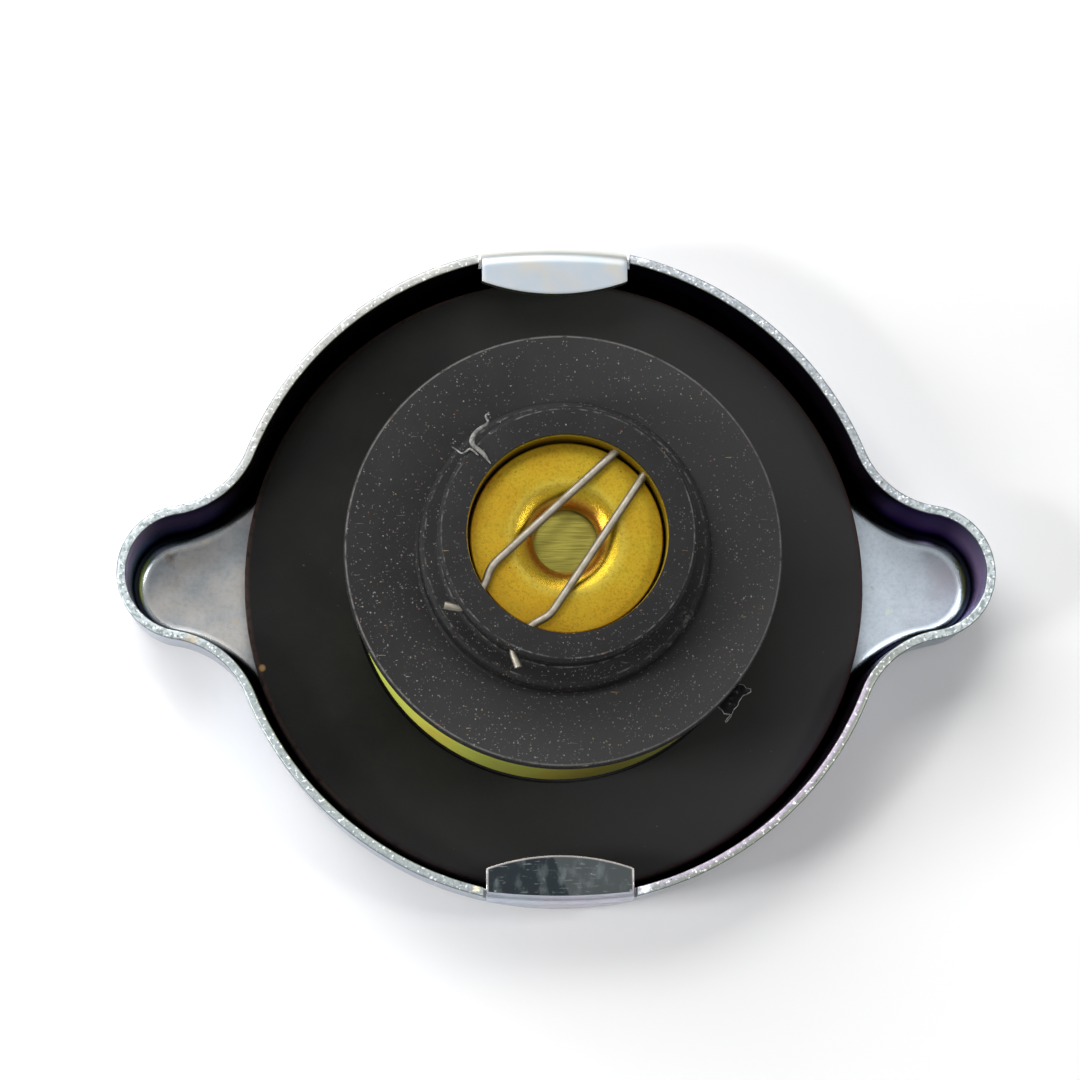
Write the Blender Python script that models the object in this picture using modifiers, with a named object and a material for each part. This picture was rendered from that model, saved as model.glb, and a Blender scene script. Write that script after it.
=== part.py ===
"""Radiator cap with ears, lying on its outer face with its valve pointing up.

A pressed steel shell carries a riveted spring bell. The bell holds a coil
spring, and the spring pushes a pressure valve with a large rubber disc up
against the bell's lip. A small vacuum valve sits in the middle of the
pressure valve, and a hairpin of wire holds it down on its own seat.

Metres. The axis of every turned piece is Z, the ears point along X and the
locking tabs lie at +Y and -Y. Z = 0 is the plane the cap lies on.
"""

import math

import bmesh
import bpy

# Clearance that every pair of touching pieces keeps
GAP = 0.0003

# Pressed shell with two ears and two locking tabs
SHELL_SHEET = 0.0009
RIM_RADIUS = 0.0328
RIM_HEIGHT = 0.010
WALL_DRAFT = 0.0006
FLOOR_CORNER = 0.0024
EAR_TIP_RADIUS = 0.0067
EAR_TIP_CENTRE = 0.0364
EAR_FILLET = 0.009
TAB_WIDTH = 0.0144
TAB_REACH = 0.0048
TAB_TIP_RADIUS = 0.0211
TAB_FACE_INSET = 0.0001
TAB_FACE_RADIUS = 0.060
TAB_FACE_SEGMENTS = 6
TAB_BEND = 0.0015
TAB_LEG = 0.0013
NOTCH_WIDTH = 0.0005
NOTCH_DEPTH = 0.0019
RECESS_RADIUS = 0.0078
RECESS_SLOPE = 0.0014
RECESS_RINGS = 4

# Centre rivet and its washer
RIVET_SHANK_RADIUS = 0.003
RIVET_HEAD_RADIUS = 0.0055
RIVET_HEAD_SUNK = 0.0003
RIVET_HEAD_EDGE = 0.0006
RIVET_CLOSED_RADIUS = 0.0047
RIVET_CLOSED_HEIGHT = 0.0014
RIVET_CLOSED_EDGE = 0.0003
WASHER_SHEET = 0.0008
WASHER_RADIUS = 0.0072

# Dished spring plate and rubber gasket between the shell and the bell
FRICTION_SHEET = 0.0004
FRICTION_INSET = 0.0044
GASKET_THICKNESS = 0.0021
GASKET_SQUEEZE = 0.0002
GASKET_WALL_CLEARANCE = 0.0013
GASKET_EDGE_ROUND = 0.0006

# Bell that holds the main spring
BELL_SHEET = 0.0008
BELL_RADIUS = 0.0198
BELL_HEIGHT = 0.0114
BELL_LIP = 0.0028
BELL_LIP_BEND = 0.0013
BELL_BASE_BEND = 0.0012

# Pressure valve plate, its backing plate and the coil spring under it
PLATE_SHEET = 0.0008
PLATE_FLANGE_CLEARANCE = 0.0007
PLATE_HUB_CLEARANCE = 0.002
PLATE_HUB_HEIGHT = 0.0043
PLATE_BEND = 0.0014
BACKING_SHEET = 0.0008
BACKING_INSET = 0.0016
SPRING_WIRE_RADIUS = 0.0009
SPRING_HUB_CLEARANCE = 0.0003
SPRING_TURNS = 4.0
SPRING_CLOSED_TURNS = 0.8

# Moulded rubber seal: disc, shoulder, neck and lip
SEAL_RADIUS = 0.0211
SEAL_THICKNESS = 0.0019
SEAL_EDGE_ROUND = 0.0003
SHOULDER_RADIUS = 0.014
SHOULDER_HEIGHT = 0.003
SHOULDER_ROUND = 0.0006
NECK_RADIUS = 0.0119
NECK_FILLET = 0.0005
LIP_RADIUS = 0.01235
LIP_HEIGHT = 0.0009
LIP_ROUND = 0.0004
LIP_ROOF = 0.0004
LIP_OVERLAP = 0.0004
SLOT_ROOF = 0.0002

# Stepped cup that holds the seal and guides the vacuum valve
CUP_SHEET = 0.0005
CUP_RADIUS = 0.010
CUP_STEP = 0.0021
CUP_SHELF_HEIGHT = 0.0034
CUP_BEND = 0.0008
CUP_BEAD_WIDTH = 0.001
CUP_BEAD_HEIGHT = 0.0012
CUP_TAIL = 0.0009
GUIDE_CLEARANCE = 0.0002
FLOW_HOLE_RADIUS = 0.0012
FLOW_HOLE_CIRCLE = 0.005
FLOW_HOLES = 4

# Vacuum valve: rubber seat ring, dished disc and guide stem
SEAT_WIDTH = 0.0015
SEAT_HEIGHT = 0.0014
SEAT_ROUND = 0.0004
DISC_SHEET = 0.0006
FUNNEL_HOLE_RADIUS = 0.00305
FUNNEL_REACH = 0.0025
FUNNEL_DEPTH = 0.00185
STEM_HEAD_RADIUS = 0.004
STEM_HEAD_HEIGHT = 0.0008
STEM_RADIUS = 0.002
STEM_BELOW_GUIDE = 0.002
STEM_POINT = 0.0006

# Hairpin wire clip over the vacuum disc, drawn in its own u, v frame
CLIP_ANGLE = math.radians(229.5)
CLIP_WIRE_RADIUS = 0.0004
CLIP_BIGHT_REACH = 0.0115
CLIP_BIGHT_HALF = 0.0015
CLIP_BEND_U = 0.0069
CLIP_BEND_HALF = 0.00365
CLIP_EXIT_U = 0.0087
CLIP_EXIT_HALF = 0.00288
CLIP_KNEE_U = 0.0116
CLIP_TIP_U = 0.0126
CLIP_TIP_HALF = 0.0046
CLIP_CORNER = 0.0007

# Facets of the round pieces, and of their bends in section
SHELL_QUARTER = (5, 5, 10)
LARGE_STEPS = 44
SMALL_STEPS = 32
FINE_STEPS = 24
SPRING_TURN_POINTS = 16
TIP_CUTTER_STEPS = 96
FLOW_HOLE_STEPS = 12
BEAD_SEGMENTS = 4
FUNNEL_SEGMENTS = 6
TAB_BEND_SEGMENTS = 5
CORNER_SEGMENTS = 4
BEND_SEGMENTS = 3
ROUND_SEGMENTS = 2
SHARP_ANGLE = math.radians(35.0)

# Heights of the stack, from the cap's outer face towards the valve
friction_z = SHELL_SHEET + GAP
gasket_z = friction_z + FRICTION_SHEET + GAP
gasket_top = gasket_z + GASKET_THICKNESS
bell_z = gasket_top - GASKET_SQUEEZE + GAP
friction_centre_z = bell_z - GAP - FRICTION_SHEET
recess_depth = friction_centre_z - GAP - SHELL_SHEET
washer_z = bell_z + BELL_SHEET + GAP
rivet_closed_z = washer_z + WASHER_SHEET + GAP
spring_z = bell_z + BELL_SHEET + GAP + SPRING_WIRE_RADIUS
flange_top = bell_z + BELL_HEIGHT - BELL_SHEET - GAP
hub_top = flange_top + PLATE_HUB_HEIGHT
spring_top = hub_top - PLATE_SHEET - GAP - SPRING_WIRE_RADIUS
backing_z = hub_top + GAP
seal_z = backing_z + BACKING_SHEET + GAP
seal_face = seal_z + SEAL_THICKNESS
shoulder_top = seal_face + SHOULDER_HEIGHT
shelf_z = seal_face + CUP_SHELF_HEIGHT
seat_z = shelf_z + GAP
disc_z = seat_z + SEAT_HEIGHT + GAP
disc_top = disc_z + DISC_SHEET
clip_z = disc_top + GAP + CLIP_WIRE_RADIUS
slot_half = CLIP_WIRE_RADIUS + GAP
lip_z = clip_z + slot_half + SLOT_ROOF
ring_top = lip_z + LIP_HEIGHT
cup_top = ring_top - LIP_ROOF - GAP
bead_z = hub_top - PLATE_SHEET - GAP
cup_base = bead_z - CUP_BEAD_HEIGHT - CUP_TAIL
funnel_end = disc_top - FUNNEL_DEPTH
stem_head_top = funnel_end - GAP
stem_end = cup_base - STEM_BELOW_GUIDE

# Radii that follow from their neighbours
shell_inner = RIM_RADIUS - SHELL_SHEET
gasket_radius = shell_inner - GASKET_WALL_CLEARANCE
rivet_hole = RIVET_SHANK_RADIUS + GAP
recess_edge = RECESS_RADIUS + RECESS_SLOPE
boss_edge = recess_edge + SHELL_SHEET
friction_foot = boss_edge + GAP
gasket_hole = friction_foot + FRICTION_SHEET + GAP
bell_inner = BELL_RADIUS - BELL_SHEET
lip_inner = BELL_RADIUS - BELL_LIP
flange_radius = bell_inner - PLATE_FLANGE_CLEARANCE
hub_radius = lip_inner - PLATE_HUB_CLEARANCE
spring_radius = hub_radius - PLATE_SHEET - SPRING_HUB_CLEARANCE - SPRING_WIRE_RADIUS
cup_waist = CUP_RADIUS - CUP_STEP
waist_hole = cup_waist + GAP
cup_inner = CUP_RADIUS - CUP_SHEET
bore_radius = CUP_RADIUS + GAP
lip_bore = bore_radius - LIP_OVERLAP - GAP
disc_radius = cup_inner - GAP
seat_radius = cup_inner - GAP
guide_radius = STEM_RADIUS + GUIDE_CLEARANCE


def clear_scene():
    """Remove what the file holds, so that the cap is built alone."""
    for item in list(bpy.data.objects):
        bpy.data.objects.remove(item, do_unlink=True)


def collection(name):
    group = bpy.data.collections.new(name)
    bpy.context.scene.collection.children.link(group)
    return group


def material(name, colour, metallic, roughness):
    finish = bpy.data.materials.new(name)
    finish.use_nodes = True
    shader = finish.node_tree.nodes["Principled BSDF"]
    shader.inputs["Base Color"].default_value = (*colour, 1.0)
    shader.inputs["Metallic"].default_value = metallic
    shader.inputs["Roughness"].default_value = roughness
    return finish


def axis_empty(name, height, parent=None):
    """An empty on the cap's axis that carries the pieces of one moving body."""
    empty = bpy.data.objects.new(name, None)
    empty.empty_display_size = GASKET_THICKNESS
    parts.objects.link(empty)
    empty["height"] = height
    empty.location.z = height
    if parent:
        empty.parent = parent
        empty.location.z -= parent["height"]
    return empty


def add_piece(name, mesh, finish, carrier=None):
    """Link a mesh as a piece of the cap, drawn in the cap's own frame."""
    piece = bpy.data.objects.new(name, mesh)
    parts.objects.link(piece)
    mesh.materials.append(finish)
    if carrier:
        piece.parent = carrier
        piece.location.z = -carrier["height"]
    return piece


def add_cutter(name, mesh):
    cutter = bpy.data.objects.new(name, mesh)
    cutters.objects.link(cutter)
    cutter.hide_render = True
    cutter.display_type = "WIRE"
    return cutter


def add_boolean(piece, other, operation):
    modifier = piece.modifiers.new(f"{operation} {other.name}", "BOOLEAN")
    modifier.object = other
    modifier.operation = operation
    modifier.solver = "EXACT"


def add_solidify(piece, thickness):
    """Give a sheet its thickness, inward from the drawn face."""
    modifier = piece.modifiers.new("sheet", "SOLIDIFY")
    modifier.thickness = thickness
    modifier.offset = -1.0
    modifier.use_even_offset = True


def arc(centre_r, centre_z, radius, start, end, segments):
    """Points (r, z) on an arc, with its angles in degrees."""
    points = []
    for step in range(segments + 1):
        angle = math.radians(start + (end - start) * step / segments)
        point = (centre_r + radius * math.cos(angle), centre_z + radius * math.sin(angle))
        points.append(point)
    return points


def turned(name, profile, finish, carrier, steps, sheet=0.0):
    """Turn a profile of (r, z) points about Z.

    With a sheet thickness the profile is the outer face of a pressed sheet.
    Without one it is a closed section, or a half section that starts and ends
    on the axis.
    """
    edges = [(index, index + 1) for index in range(len(profile) - 1)]
    on_axis = profile[0][0] == 0.0
    if not sheet and not on_axis:
        edges.append((len(profile) - 1, 0))
    mesh = bpy.data.meshes.new(name)
    mesh.from_pydata([(radius, 0.0, height) for radius, height in profile], edges, [])
    piece = add_piece(name, mesh, finish, carrier)
    screw = piece.modifiers.new("turn", "SCREW")
    screw.axis = "Z"
    screw.steps = steps
    screw.render_steps = steps
    screw.use_merge_vertices = True
    screw.merge_threshold = 0.00001
    screw.use_smooth_shade = True
    if sheet:
        add_solidify(piece, sheet)
    return piece


def wire(name, points, radius, finish, carrier):
    """A round wire along a list of points."""
    curve = bpy.data.curves.new(name, "CURVE")
    curve.dimensions = "3D"
    curve.bevel_depth = radius
    curve.bevel_resolution = 2
    curve.use_fill_caps = True
    spline = curve.splines.new("POLY")
    spline.points.add(len(points) - 1)
    for point, place in zip(spline.points, points):
        point.co = (*place, 1.0)
    return add_piece(name, curve, finish, carrier)


def rounded_path(corners, radius, segments):
    """Points of a wire that is bent at each corner with the given radius."""
    path = [corners[0]]
    for before, corner, after in zip(corners, corners[1:], corners[2:]):
        back = (before[0] - corner[0], before[1] - corner[1])
        ahead = (after[0] - corner[0], after[1] - corner[1])
        back_length = math.hypot(*back)
        ahead_length = math.hypot(*ahead)
        trim = min(radius, back_length / 2, ahead_length / 2)
        start = [corner[axis] + back[axis] * trim / back_length for axis in (0, 1)]
        end = [corner[axis] + ahead[axis] * trim / ahead_length for axis in (0, 1)]
        for step in range(segments + 1):
            along = step / segments
            point = []
            for axis in (0, 1):
                first = start[axis] + (corner[axis] - start[axis]) * along
                second = corner[axis] + (end[axis] - corner[axis]) * along
                point.append(first + (second - first) * along)
            path.append(tuple(point))
    path.append(corners[-1])
    return path


def shell_outline(inset):
    """Outline of the eared shell, moved inward by an inset, as (x, y) points.

    A quarter is the half ear tip, the hollow fillet and half the round side.
    Each arc keeps its centre, so every inset gives the same number of points.
    """
    side_radius = RIM_RADIUS - inset
    tip_radius = EAR_TIP_RADIUS - inset
    fillet_radius = EAR_FILLET + inset
    side_reach = RIM_RADIUS + EAR_FILLET
    tip_reach = EAR_TIP_RADIUS + EAR_FILLET
    fillet_x = (side_reach ** 2 - tip_reach ** 2 + EAR_TIP_CENTRE ** 2) / (2 * EAR_TIP_CENTRE)
    fillet_y = math.sqrt(side_reach ** 2 - fillet_x ** 2)
    tip_end = math.degrees(math.atan2(fillet_y, fillet_x - EAR_TIP_CENTRE))
    side_start = math.degrees(math.atan2(fillet_y, fillet_x))
    tip_steps, fillet_steps, side_steps = SHELL_QUARTER
    quarter = arc(EAR_TIP_CENTRE, 0.0, tip_radius, 0.0, tip_end, tip_steps)
    quarter += arc(fillet_x, fillet_y, fillet_radius, tip_end + 180.0, side_start + 180.0,
                   fillet_steps)[1:]
    quarter += arc(0.0, 0.0, side_radius, side_start, 90.0, side_steps)[1:]
    left = [(-x, y) for x, y in reversed(quarter[:-1])]
    upper = quarter + left
    lower = [(x, -y) for x, y in reversed(upper[1:-1])]
    return upper + lower


def shell_ring(inset, height):
    return [(x, y, height) for x, y in shell_outline(inset)]


def circle_ring(radius, height):
    """A round ring whose points face those of the shell's outline."""
    ring = []
    for x, y in shell_outline(0.0):
        angle = math.atan2(y, x)
        ring.append((radius * math.cos(angle), radius * math.sin(angle), height))
    return ring


def cylinder_cutter(name, radius, depth, segments, location):
    """A closed cylinder along Z."""
    work = bmesh.new()
    bmesh.ops.create_cone(work, cap_ends=True, segments=segments, radius1=radius,
                          radius2=radius, depth=depth)
    mesh = bpy.data.meshes.new(name)
    work.to_mesh(mesh)
    work.free()
    cutter = add_cutter(name, mesh)
    cutter.location = location
    return cutter


def build_tab(name, turn):
    """A tongue of the rim, bent inward over the neck's cam, with a round tip.

    The bend is nearly straight, so its outer face is an arc much flatter than
    the rim. The strip is drawn from the leg, round the bend, to past the tip.
    """
    face_y = RIM_RADIUS - TAB_FACE_INSET
    leg_end = RIM_HEIGHT - NOTCH_DEPTH - TAB_LEG
    section = [(0.0, leg_end)]
    section += arc(-TAB_BEND, RIM_HEIGHT - TAB_BEND, TAB_BEND, 0.0, 90.0, TAB_BEND_SEGMENTS)
    section.append((-TAB_REACH - TAB_BEND, RIM_HEIGHT))
    work = bmesh.new()
    columns = []
    for step in range(TAB_FACE_SEGMENTS + 1):
        x = TAB_WIDTH * (0.5 - step / TAB_FACE_SEGMENTS)
        sag = TAB_FACE_RADIUS - math.sqrt(TAB_FACE_RADIUS ** 2 - x ** 2)
        columns.append([work.verts.new((x, face_y - sag + y, z)) for y, z in section])
    for right, left in zip(columns, columns[1:]):
        for index in range(len(section) - 1):
            corners = (left[index], left[index + 1], right[index + 1], right[index])
            work.faces.new(corners)
    mesh = bpy.data.meshes.new(name)
    work.to_mesh(mesh)
    work.free()
    tab = add_cutter(name, mesh)
    tab.rotation_euler.z = turn
    add_solidify(tab, SHELL_SHEET)
    tip_centre = face_y - TAB_REACH + TAB_TIP_RADIUS
    place = (-math.sin(turn) * tip_centre, math.cos(turn) * tip_centre, RIM_HEIGHT)
    tip = cylinder_cutter(f"{name}_tip", TAB_TIP_RADIUS, 2 * RIM_HEIGHT, TIP_CUTTER_STEPS, place)
    add_boolean(tab, tip, "INTERSECT")
    return tab


def box_cutter(name, low, high, turn=0.0):
    """A box between two corners, turned about Z."""
    work = bmesh.new()
    bmesh.ops.create_cube(work, size=1.0)
    for vertex in work.verts:
        for axis in range(3):
            middle = (low[axis] + high[axis]) / 2
            vertex.co[axis] = middle + vertex.co[axis] * (high[axis] - low[axis])
    mesh = bpy.data.meshes.new(name)
    work.to_mesh(mesh)
    work.free()
    cutter = add_cutter(name, mesh)
    cutter.rotation_euler.z = turn
    return cutter


def build_shell():
    """Eared shell: rim, drafted wall, round corner, flat face and centre recess."""
    rings = [shell_ring(0.0, RIM_HEIGHT)]
    for radius, height in arc(0.0, FLOOR_CORNER, FLOOR_CORNER, 180.0, 270.0, CORNER_SEGMENTS):
        rings.append(shell_ring(WALL_DRAFT + FLOOR_CORNER + radius, height))
    for step in range(RECESS_RINGS + 1):
        along = step / RECESS_RINGS
        sunk = recess_depth * (1 - math.cos(math.pi * along)) / 2
        rings.append(circle_ring(recess_edge - RECESS_SLOPE * along, sunk))
    rings.append(circle_ring(rivet_hole, recess_depth))
    work = bmesh.new()
    loops = [[work.verts.new(point) for point in ring] for ring in rings]
    count = len(loops[0])
    for upper, lower in zip(loops, loops[1:]):
        for index in range(count):
            after = (index + 1) % count
            work.faces.new((upper[index], lower[index], lower[after], upper[after]))
    mesh = bpy.data.meshes.new("cap_shell")
    work.to_mesh(mesh)
    work.free()
    mesh.shade_smooth()
    mesh.set_sharp_from_angle(angle=SHARP_ANGLE)
    shell = add_piece("cap_shell", mesh, zinc)
    add_solidify(shell, SHELL_SHEET)

    half = TAB_WIDTH / 2 + NOTCH_WIDTH
    low = (-half, RIM_RADIUS - 2 * TAB_REACH, RIM_HEIGHT - NOTCH_DEPTH)
    high = (half, RIM_RADIUS + TAB_REACH, RIM_HEIGHT + TAB_REACH)
    for side, turn in (("front", math.pi), ("back", 0.0)):
        add_boolean(shell, box_cutter(f"{side}_notches", low, high, turn), "DIFFERENCE")
    for side, turn in (("front", math.pi), ("back", 0.0)):
        add_boolean(shell, build_tab(f"{side}_tab", turn), "UNION")
    return shell


def dome(radius, crown_z, edge_z):
    """Half section of a low round head, from its crown on the axis to its edge."""
    points = [(0.0, crown_z)]
    for step in range(1, CORNER_SEGMENTS + 1):
        angle = math.pi / 2 * step / CORNER_SEGMENTS
        points.append((radius * math.sin(angle), edge_z + (crown_z - edge_z) * math.cos(angle)))
    return points


def build_rivet():
    """Low round head in the recess, shank through the stack, closed head inside."""
    under_head = recess_depth - GAP
    closed_top = rivet_closed_z + RIVET_CLOSED_HEIGHT
    profile = dome(RIVET_CLOSED_RADIUS, closed_top, rivet_closed_z + RIVET_CLOSED_EDGE)
    profile += [
        (RIVET_CLOSED_RADIUS, rivet_closed_z),
        (RIVET_SHANK_RADIUS, rivet_closed_z),
        (RIVET_SHANK_RADIUS, under_head),
        (RIVET_HEAD_RADIUS, under_head),
    ]
    profile += reversed(dome(RIVET_HEAD_RADIUS, RIVET_HEAD_SUNK, under_head - RIVET_HEAD_EDGE))
    turned("centre_rivet", profile, zinc, None, FINE_STEPS)


def build_washer():
    profile = [
        (rivet_hole, washer_z + WASHER_SHEET),
        (WASHER_RADIUS, washer_z + WASHER_SHEET),
        (WASHER_RADIUS, washer_z),
        (rivet_hole, washer_z),
    ]
    turned("rivet_washer", profile, zinc, None, FINE_STEPS)


def build_friction_spring():
    """Thin plate, flat on the shell's floor and dished over the boss."""
    boss_top = RECESS_RADIUS + SHELL_SHEET + GAP
    profile = [
        (gasket_radius - FRICTION_INSET, friction_z),
        (friction_foot, friction_z),
        (boss_top, friction_centre_z),
        (rivet_hole, friction_centre_z),
    ]
    turned("friction_spring", profile, spring_steel, bell_axis, SMALL_STEPS, FRICTION_SHEET)


def build_gasket():
    """Flat rubber ring under the neck's rim, squeezed a little under the bell."""
    middle = gasket_radius - GASKET_EDGE_ROUND
    squeezed = bell_z - GAP
    profile = [
        (gasket_hole, squeezed),
        (BELL_RADIUS, squeezed),
        (BELL_RADIUS + GASKET_SQUEEZE, gasket_top),
    ]
    profile += arc(middle, gasket_top - GASKET_EDGE_ROUND, GASKET_EDGE_ROUND, 90.0, 0.0,
                   BEND_SEGMENTS)
    profile += [(gasket_radius, gasket_z), (gasket_hole, gasket_z)]
    turned("upper_gasket", profile, rubber, bell_axis, LARGE_STEPS)


def build_bell():
    """Drawn bell: inward lip, straight wall, round foot and flat riveted base."""
    top = bell_z + BELL_HEIGHT
    profile = [(lip_inner, top)]
    profile += arc(BELL_RADIUS - BELL_LIP_BEND, top - BELL_LIP_BEND, BELL_LIP_BEND, 90.0, 0.0,
                   CORNER_SEGMENTS)
    profile += arc(BELL_RADIUS - BELL_BASE_BEND, bell_z + BELL_BASE_BEND, BELL_BASE_BEND,
                   0.0, -90.0, BEND_SEGMENTS)
    profile.append((rivet_hole, bell_z))
    turned("spring_bell", profile, chromate, bell_axis, LARGE_STEPS, BELL_SHEET)


def build_main_spring():
    """Coil spring with closed ends, from the bell's base to the valve plate."""
    pitch_turns = SPRING_TURNS - 2 * SPRING_CLOSED_TURNS
    lay = 2 * SPRING_WIRE_RADIUS + GAP / 2
    rise = spring_top - spring_z
    end_rise = SPRING_CLOSED_TURNS * lay
    count = round(SPRING_TURNS * SPRING_TURN_POINTS)
    points = []
    for index in range(count + 1):
        turns = SPRING_TURNS * index / count
        angle = 2 * math.pi * turns
        if turns < SPRING_CLOSED_TURNS:
            height = spring_z + turns * lay
        elif turns > SPRING_TURNS - SPRING_CLOSED_TURNS:
            height = spring_top - (SPRING_TURNS - turns) * lay
        else:
            along = (turns - SPRING_CLOSED_TURNS) / pitch_turns
            height = spring_z + end_rise + (rise - 2 * end_rise) * along
        points.append((spring_radius * math.cos(angle), spring_radius * math.sin(angle), height))
    wire("main_spring", points, SPRING_WIRE_RADIUS, spring_steel, bell_axis)


def build_valve_plate():
    """Hat-shaped plate: its flange is stopped by the bell's lip."""
    inner_corner = hub_radius + PLATE_BEND
    profile = [(waist_hole, hub_top)]
    profile += arc(hub_radius - PLATE_BEND, hub_top - PLATE_BEND, PLATE_BEND, 90.0, 0.0,
                   BEND_SEGMENTS)
    profile += arc(inner_corner, flange_top + PLATE_BEND, PLATE_BEND, 180.0, 270.0,
                   BEND_SEGMENTS)
    profile.append((flange_radius, flange_top))
    turned("valve_plate", profile, chromate, valve_axis, SMALL_STEPS, PLATE_SHEET)


def build_backing_plate():
    top = backing_z + BACKING_SHEET
    radius = SEAL_RADIUS - BACKING_INSET
    profile = [(waist_hole, top), (radius, top), (radius, backing_z), (waist_hole, backing_z)]
    turned("backing_plate", profile, chromate, valve_axis, SMALL_STEPS)


def clip_slots():
    """Boxes that let the clip's bight and its two legs through the ring."""
    low_z = clip_z - slot_half
    high_z = clip_z + slot_half
    inner_u = cup_inner - 2 * CUP_SHEET
    outer_u = LIP_RADIUS + GAP
    bight_half = CLIP_BIGHT_HALF + slot_half + GAP
    boxes = [("bight", -outer_u, -inner_u, -bight_half, bight_half)]
    for side, middle in (("left", -CLIP_EXIT_HALF), ("right", CLIP_EXIT_HALF)):
        boxes.append((side, CLIP_EXIT_U - GAP, outer_u, middle - slot_half, middle + slot_half))
    slots = []
    for side, low_u, high_u, low_v, high_v in boxes:
        low = (low_u, low_v, low_z)
        high = (high_u, high_v, high_z)
        slots.append(box_cutter(f"{side}_slot", low, high, CLIP_ANGLE))
    return slots


def build_seal(slots):
    """Rubber disc with a shoulder, a neck and a lip that folds over the cup."""
    edge = SEAL_EDGE_ROUND
    step_z = shelf_z - CUP_SHEET - GAP
    profile = [(lip_bore, ring_top)]
    profile += arc(LIP_RADIUS - LIP_ROUND, ring_top - LIP_ROUND, LIP_ROUND, 90.0, 0.0,
                   ROUND_SEGMENTS)
    profile += [(LIP_RADIUS, lip_z), (NECK_RADIUS, lip_z)]
    profile += arc(NECK_RADIUS + NECK_FILLET, shoulder_top + NECK_FILLET, NECK_FILLET,
                   180.0, 270.0, ROUND_SEGMENTS)
    profile += arc(SHOULDER_RADIUS - SHOULDER_ROUND, shoulder_top - SHOULDER_ROUND,
                   SHOULDER_ROUND, 90.0, 0.0, BEND_SEGMENTS)
    profile += [
        (SHOULDER_RADIUS, seal_face + edge),
        (SHOULDER_RADIUS + edge, seal_face),
        (SEAL_RADIUS - edge, seal_face),
        (SEAL_RADIUS, seal_face - edge),
        (SEAL_RADIUS, seal_z + edge),
        (SEAL_RADIUS - edge, seal_z),
        (waist_hole, seal_z),
        (waist_hole, step_z),
        (bore_radius, step_z),
        (bore_radius, ring_top - LIP_ROOF),
        (lip_bore, ring_top - LIP_ROOF),
    ]
    seal = turned("valve_seal", profile, rubber, valve_axis, LARGE_STEPS)
    for slot in slots:
        add_boolean(seal, slot, "DIFFERENCE")


def build_cup(slots):
    """Stepped cup: sleeve, shelf, waist, rolled bead and pierced base."""
    shelf_under = shelf_z - CUP_SHEET
    waist_corner = CUP_BEND / 4
    profile = [(CUP_RADIUS, cup_top)]
    profile += arc(CUP_RADIUS - CUP_BEND, shelf_under + CUP_BEND, CUP_BEND, 0.0, -90.0,
                   BEND_SEGMENTS)
    profile += [(cup_waist + waist_corner, shelf_under), (cup_waist, shelf_under - waist_corner)]
    for step in range(BEAD_SEGMENTS + 1):
        angle = math.pi * step / BEAD_SEGMENTS
        bulge = CUP_BEAD_WIDTH * math.sin(angle)
        profile.append((cup_waist + bulge, bead_z - CUP_BEAD_HEIGHT * (1 - math.cos(angle)) / 2))
    profile += arc(cup_waist - CUP_BEND, cup_base + CUP_BEND, CUP_BEND, 0.0, -90.0,
                   ROUND_SEGMENTS)
    profile.append((guide_radius, cup_base))
    cup = turned("seal_cup", profile, chromate, valve_axis, SMALL_STEPS, CUP_SHEET)
    for slot in slots:
        add_boolean(cup, slot, "DIFFERENCE")
    for index in range(FLOW_HOLES):
        angle = 2 * math.pi * (index + 0.5) / FLOW_HOLES
        place = (FLOW_HOLE_CIRCLE * math.cos(angle), FLOW_HOLE_CIRCLE * math.sin(angle),
                 cup_base + CUP_SHEET / 2)
        hole = cylinder_cutter(f"flow_hole_{index + 1}", FLOW_HOLE_RADIUS, 4 * CUP_SHEET,
                               FLOW_HOLE_STEPS, place)
        add_boolean(cup, hole, "DIFFERENCE")


def build_vacuum_seat():
    """Rubber ring on the cup's shelf, with a rounded top."""
    inner = seat_radius - SEAT_WIDTH
    top = seat_z + SEAT_HEIGHT
    profile = arc(inner + SEAT_ROUND, top - SEAT_ROUND, SEAT_ROUND, 180.0, 90.0, ROUND_SEGMENTS)
    profile += arc(seat_radius - SEAT_ROUND, top - SEAT_ROUND, SEAT_ROUND, 90.0, 0.0,
                   ROUND_SEGMENTS)
    profile += [(seat_radius, seat_z), (inner, seat_z)]
    turned("vacuum_seat", profile, rubber, valve_axis, SMALL_STEPS)


def build_vacuum_disc():
    """Flat disc whose middle is drawn down in a soft curve to a round hole."""
    profile = []
    for step in range(FUNNEL_SEGMENTS + 1):
        angle = math.pi / 2 * step / FUNNEL_SEGMENTS
        radius = FUNNEL_HOLE_RADIUS + FUNNEL_REACH * (1 - math.cos(angle))
        profile.append((radius, funnel_end + FUNNEL_DEPTH * math.sin(angle)))
    profile.append((disc_radius, disc_top))
    turned("vacuum_disc", profile, chromate, vacuum_axis, SMALL_STEPS, DISC_SHEET)


def build_stem():
    """Headed brass pin, fixed under the funnel and guided in the cup's base."""
    profile = [
        (0.0, stem_head_top),
        (STEM_HEAD_RADIUS, stem_head_top),
        (STEM_HEAD_RADIUS, stem_head_top - STEM_HEAD_HEIGHT),
        (STEM_RADIUS, stem_head_top - STEM_HEAD_HEIGHT),
        (STEM_RADIUS, stem_end + STEM_POINT),
        (STEM_RADIUS - STEM_POINT, stem_end),
        (0.0, stem_end),
    ]
    turned("vacuum_stem", profile, brass, vacuum_axis, FINE_STEPS)


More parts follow.
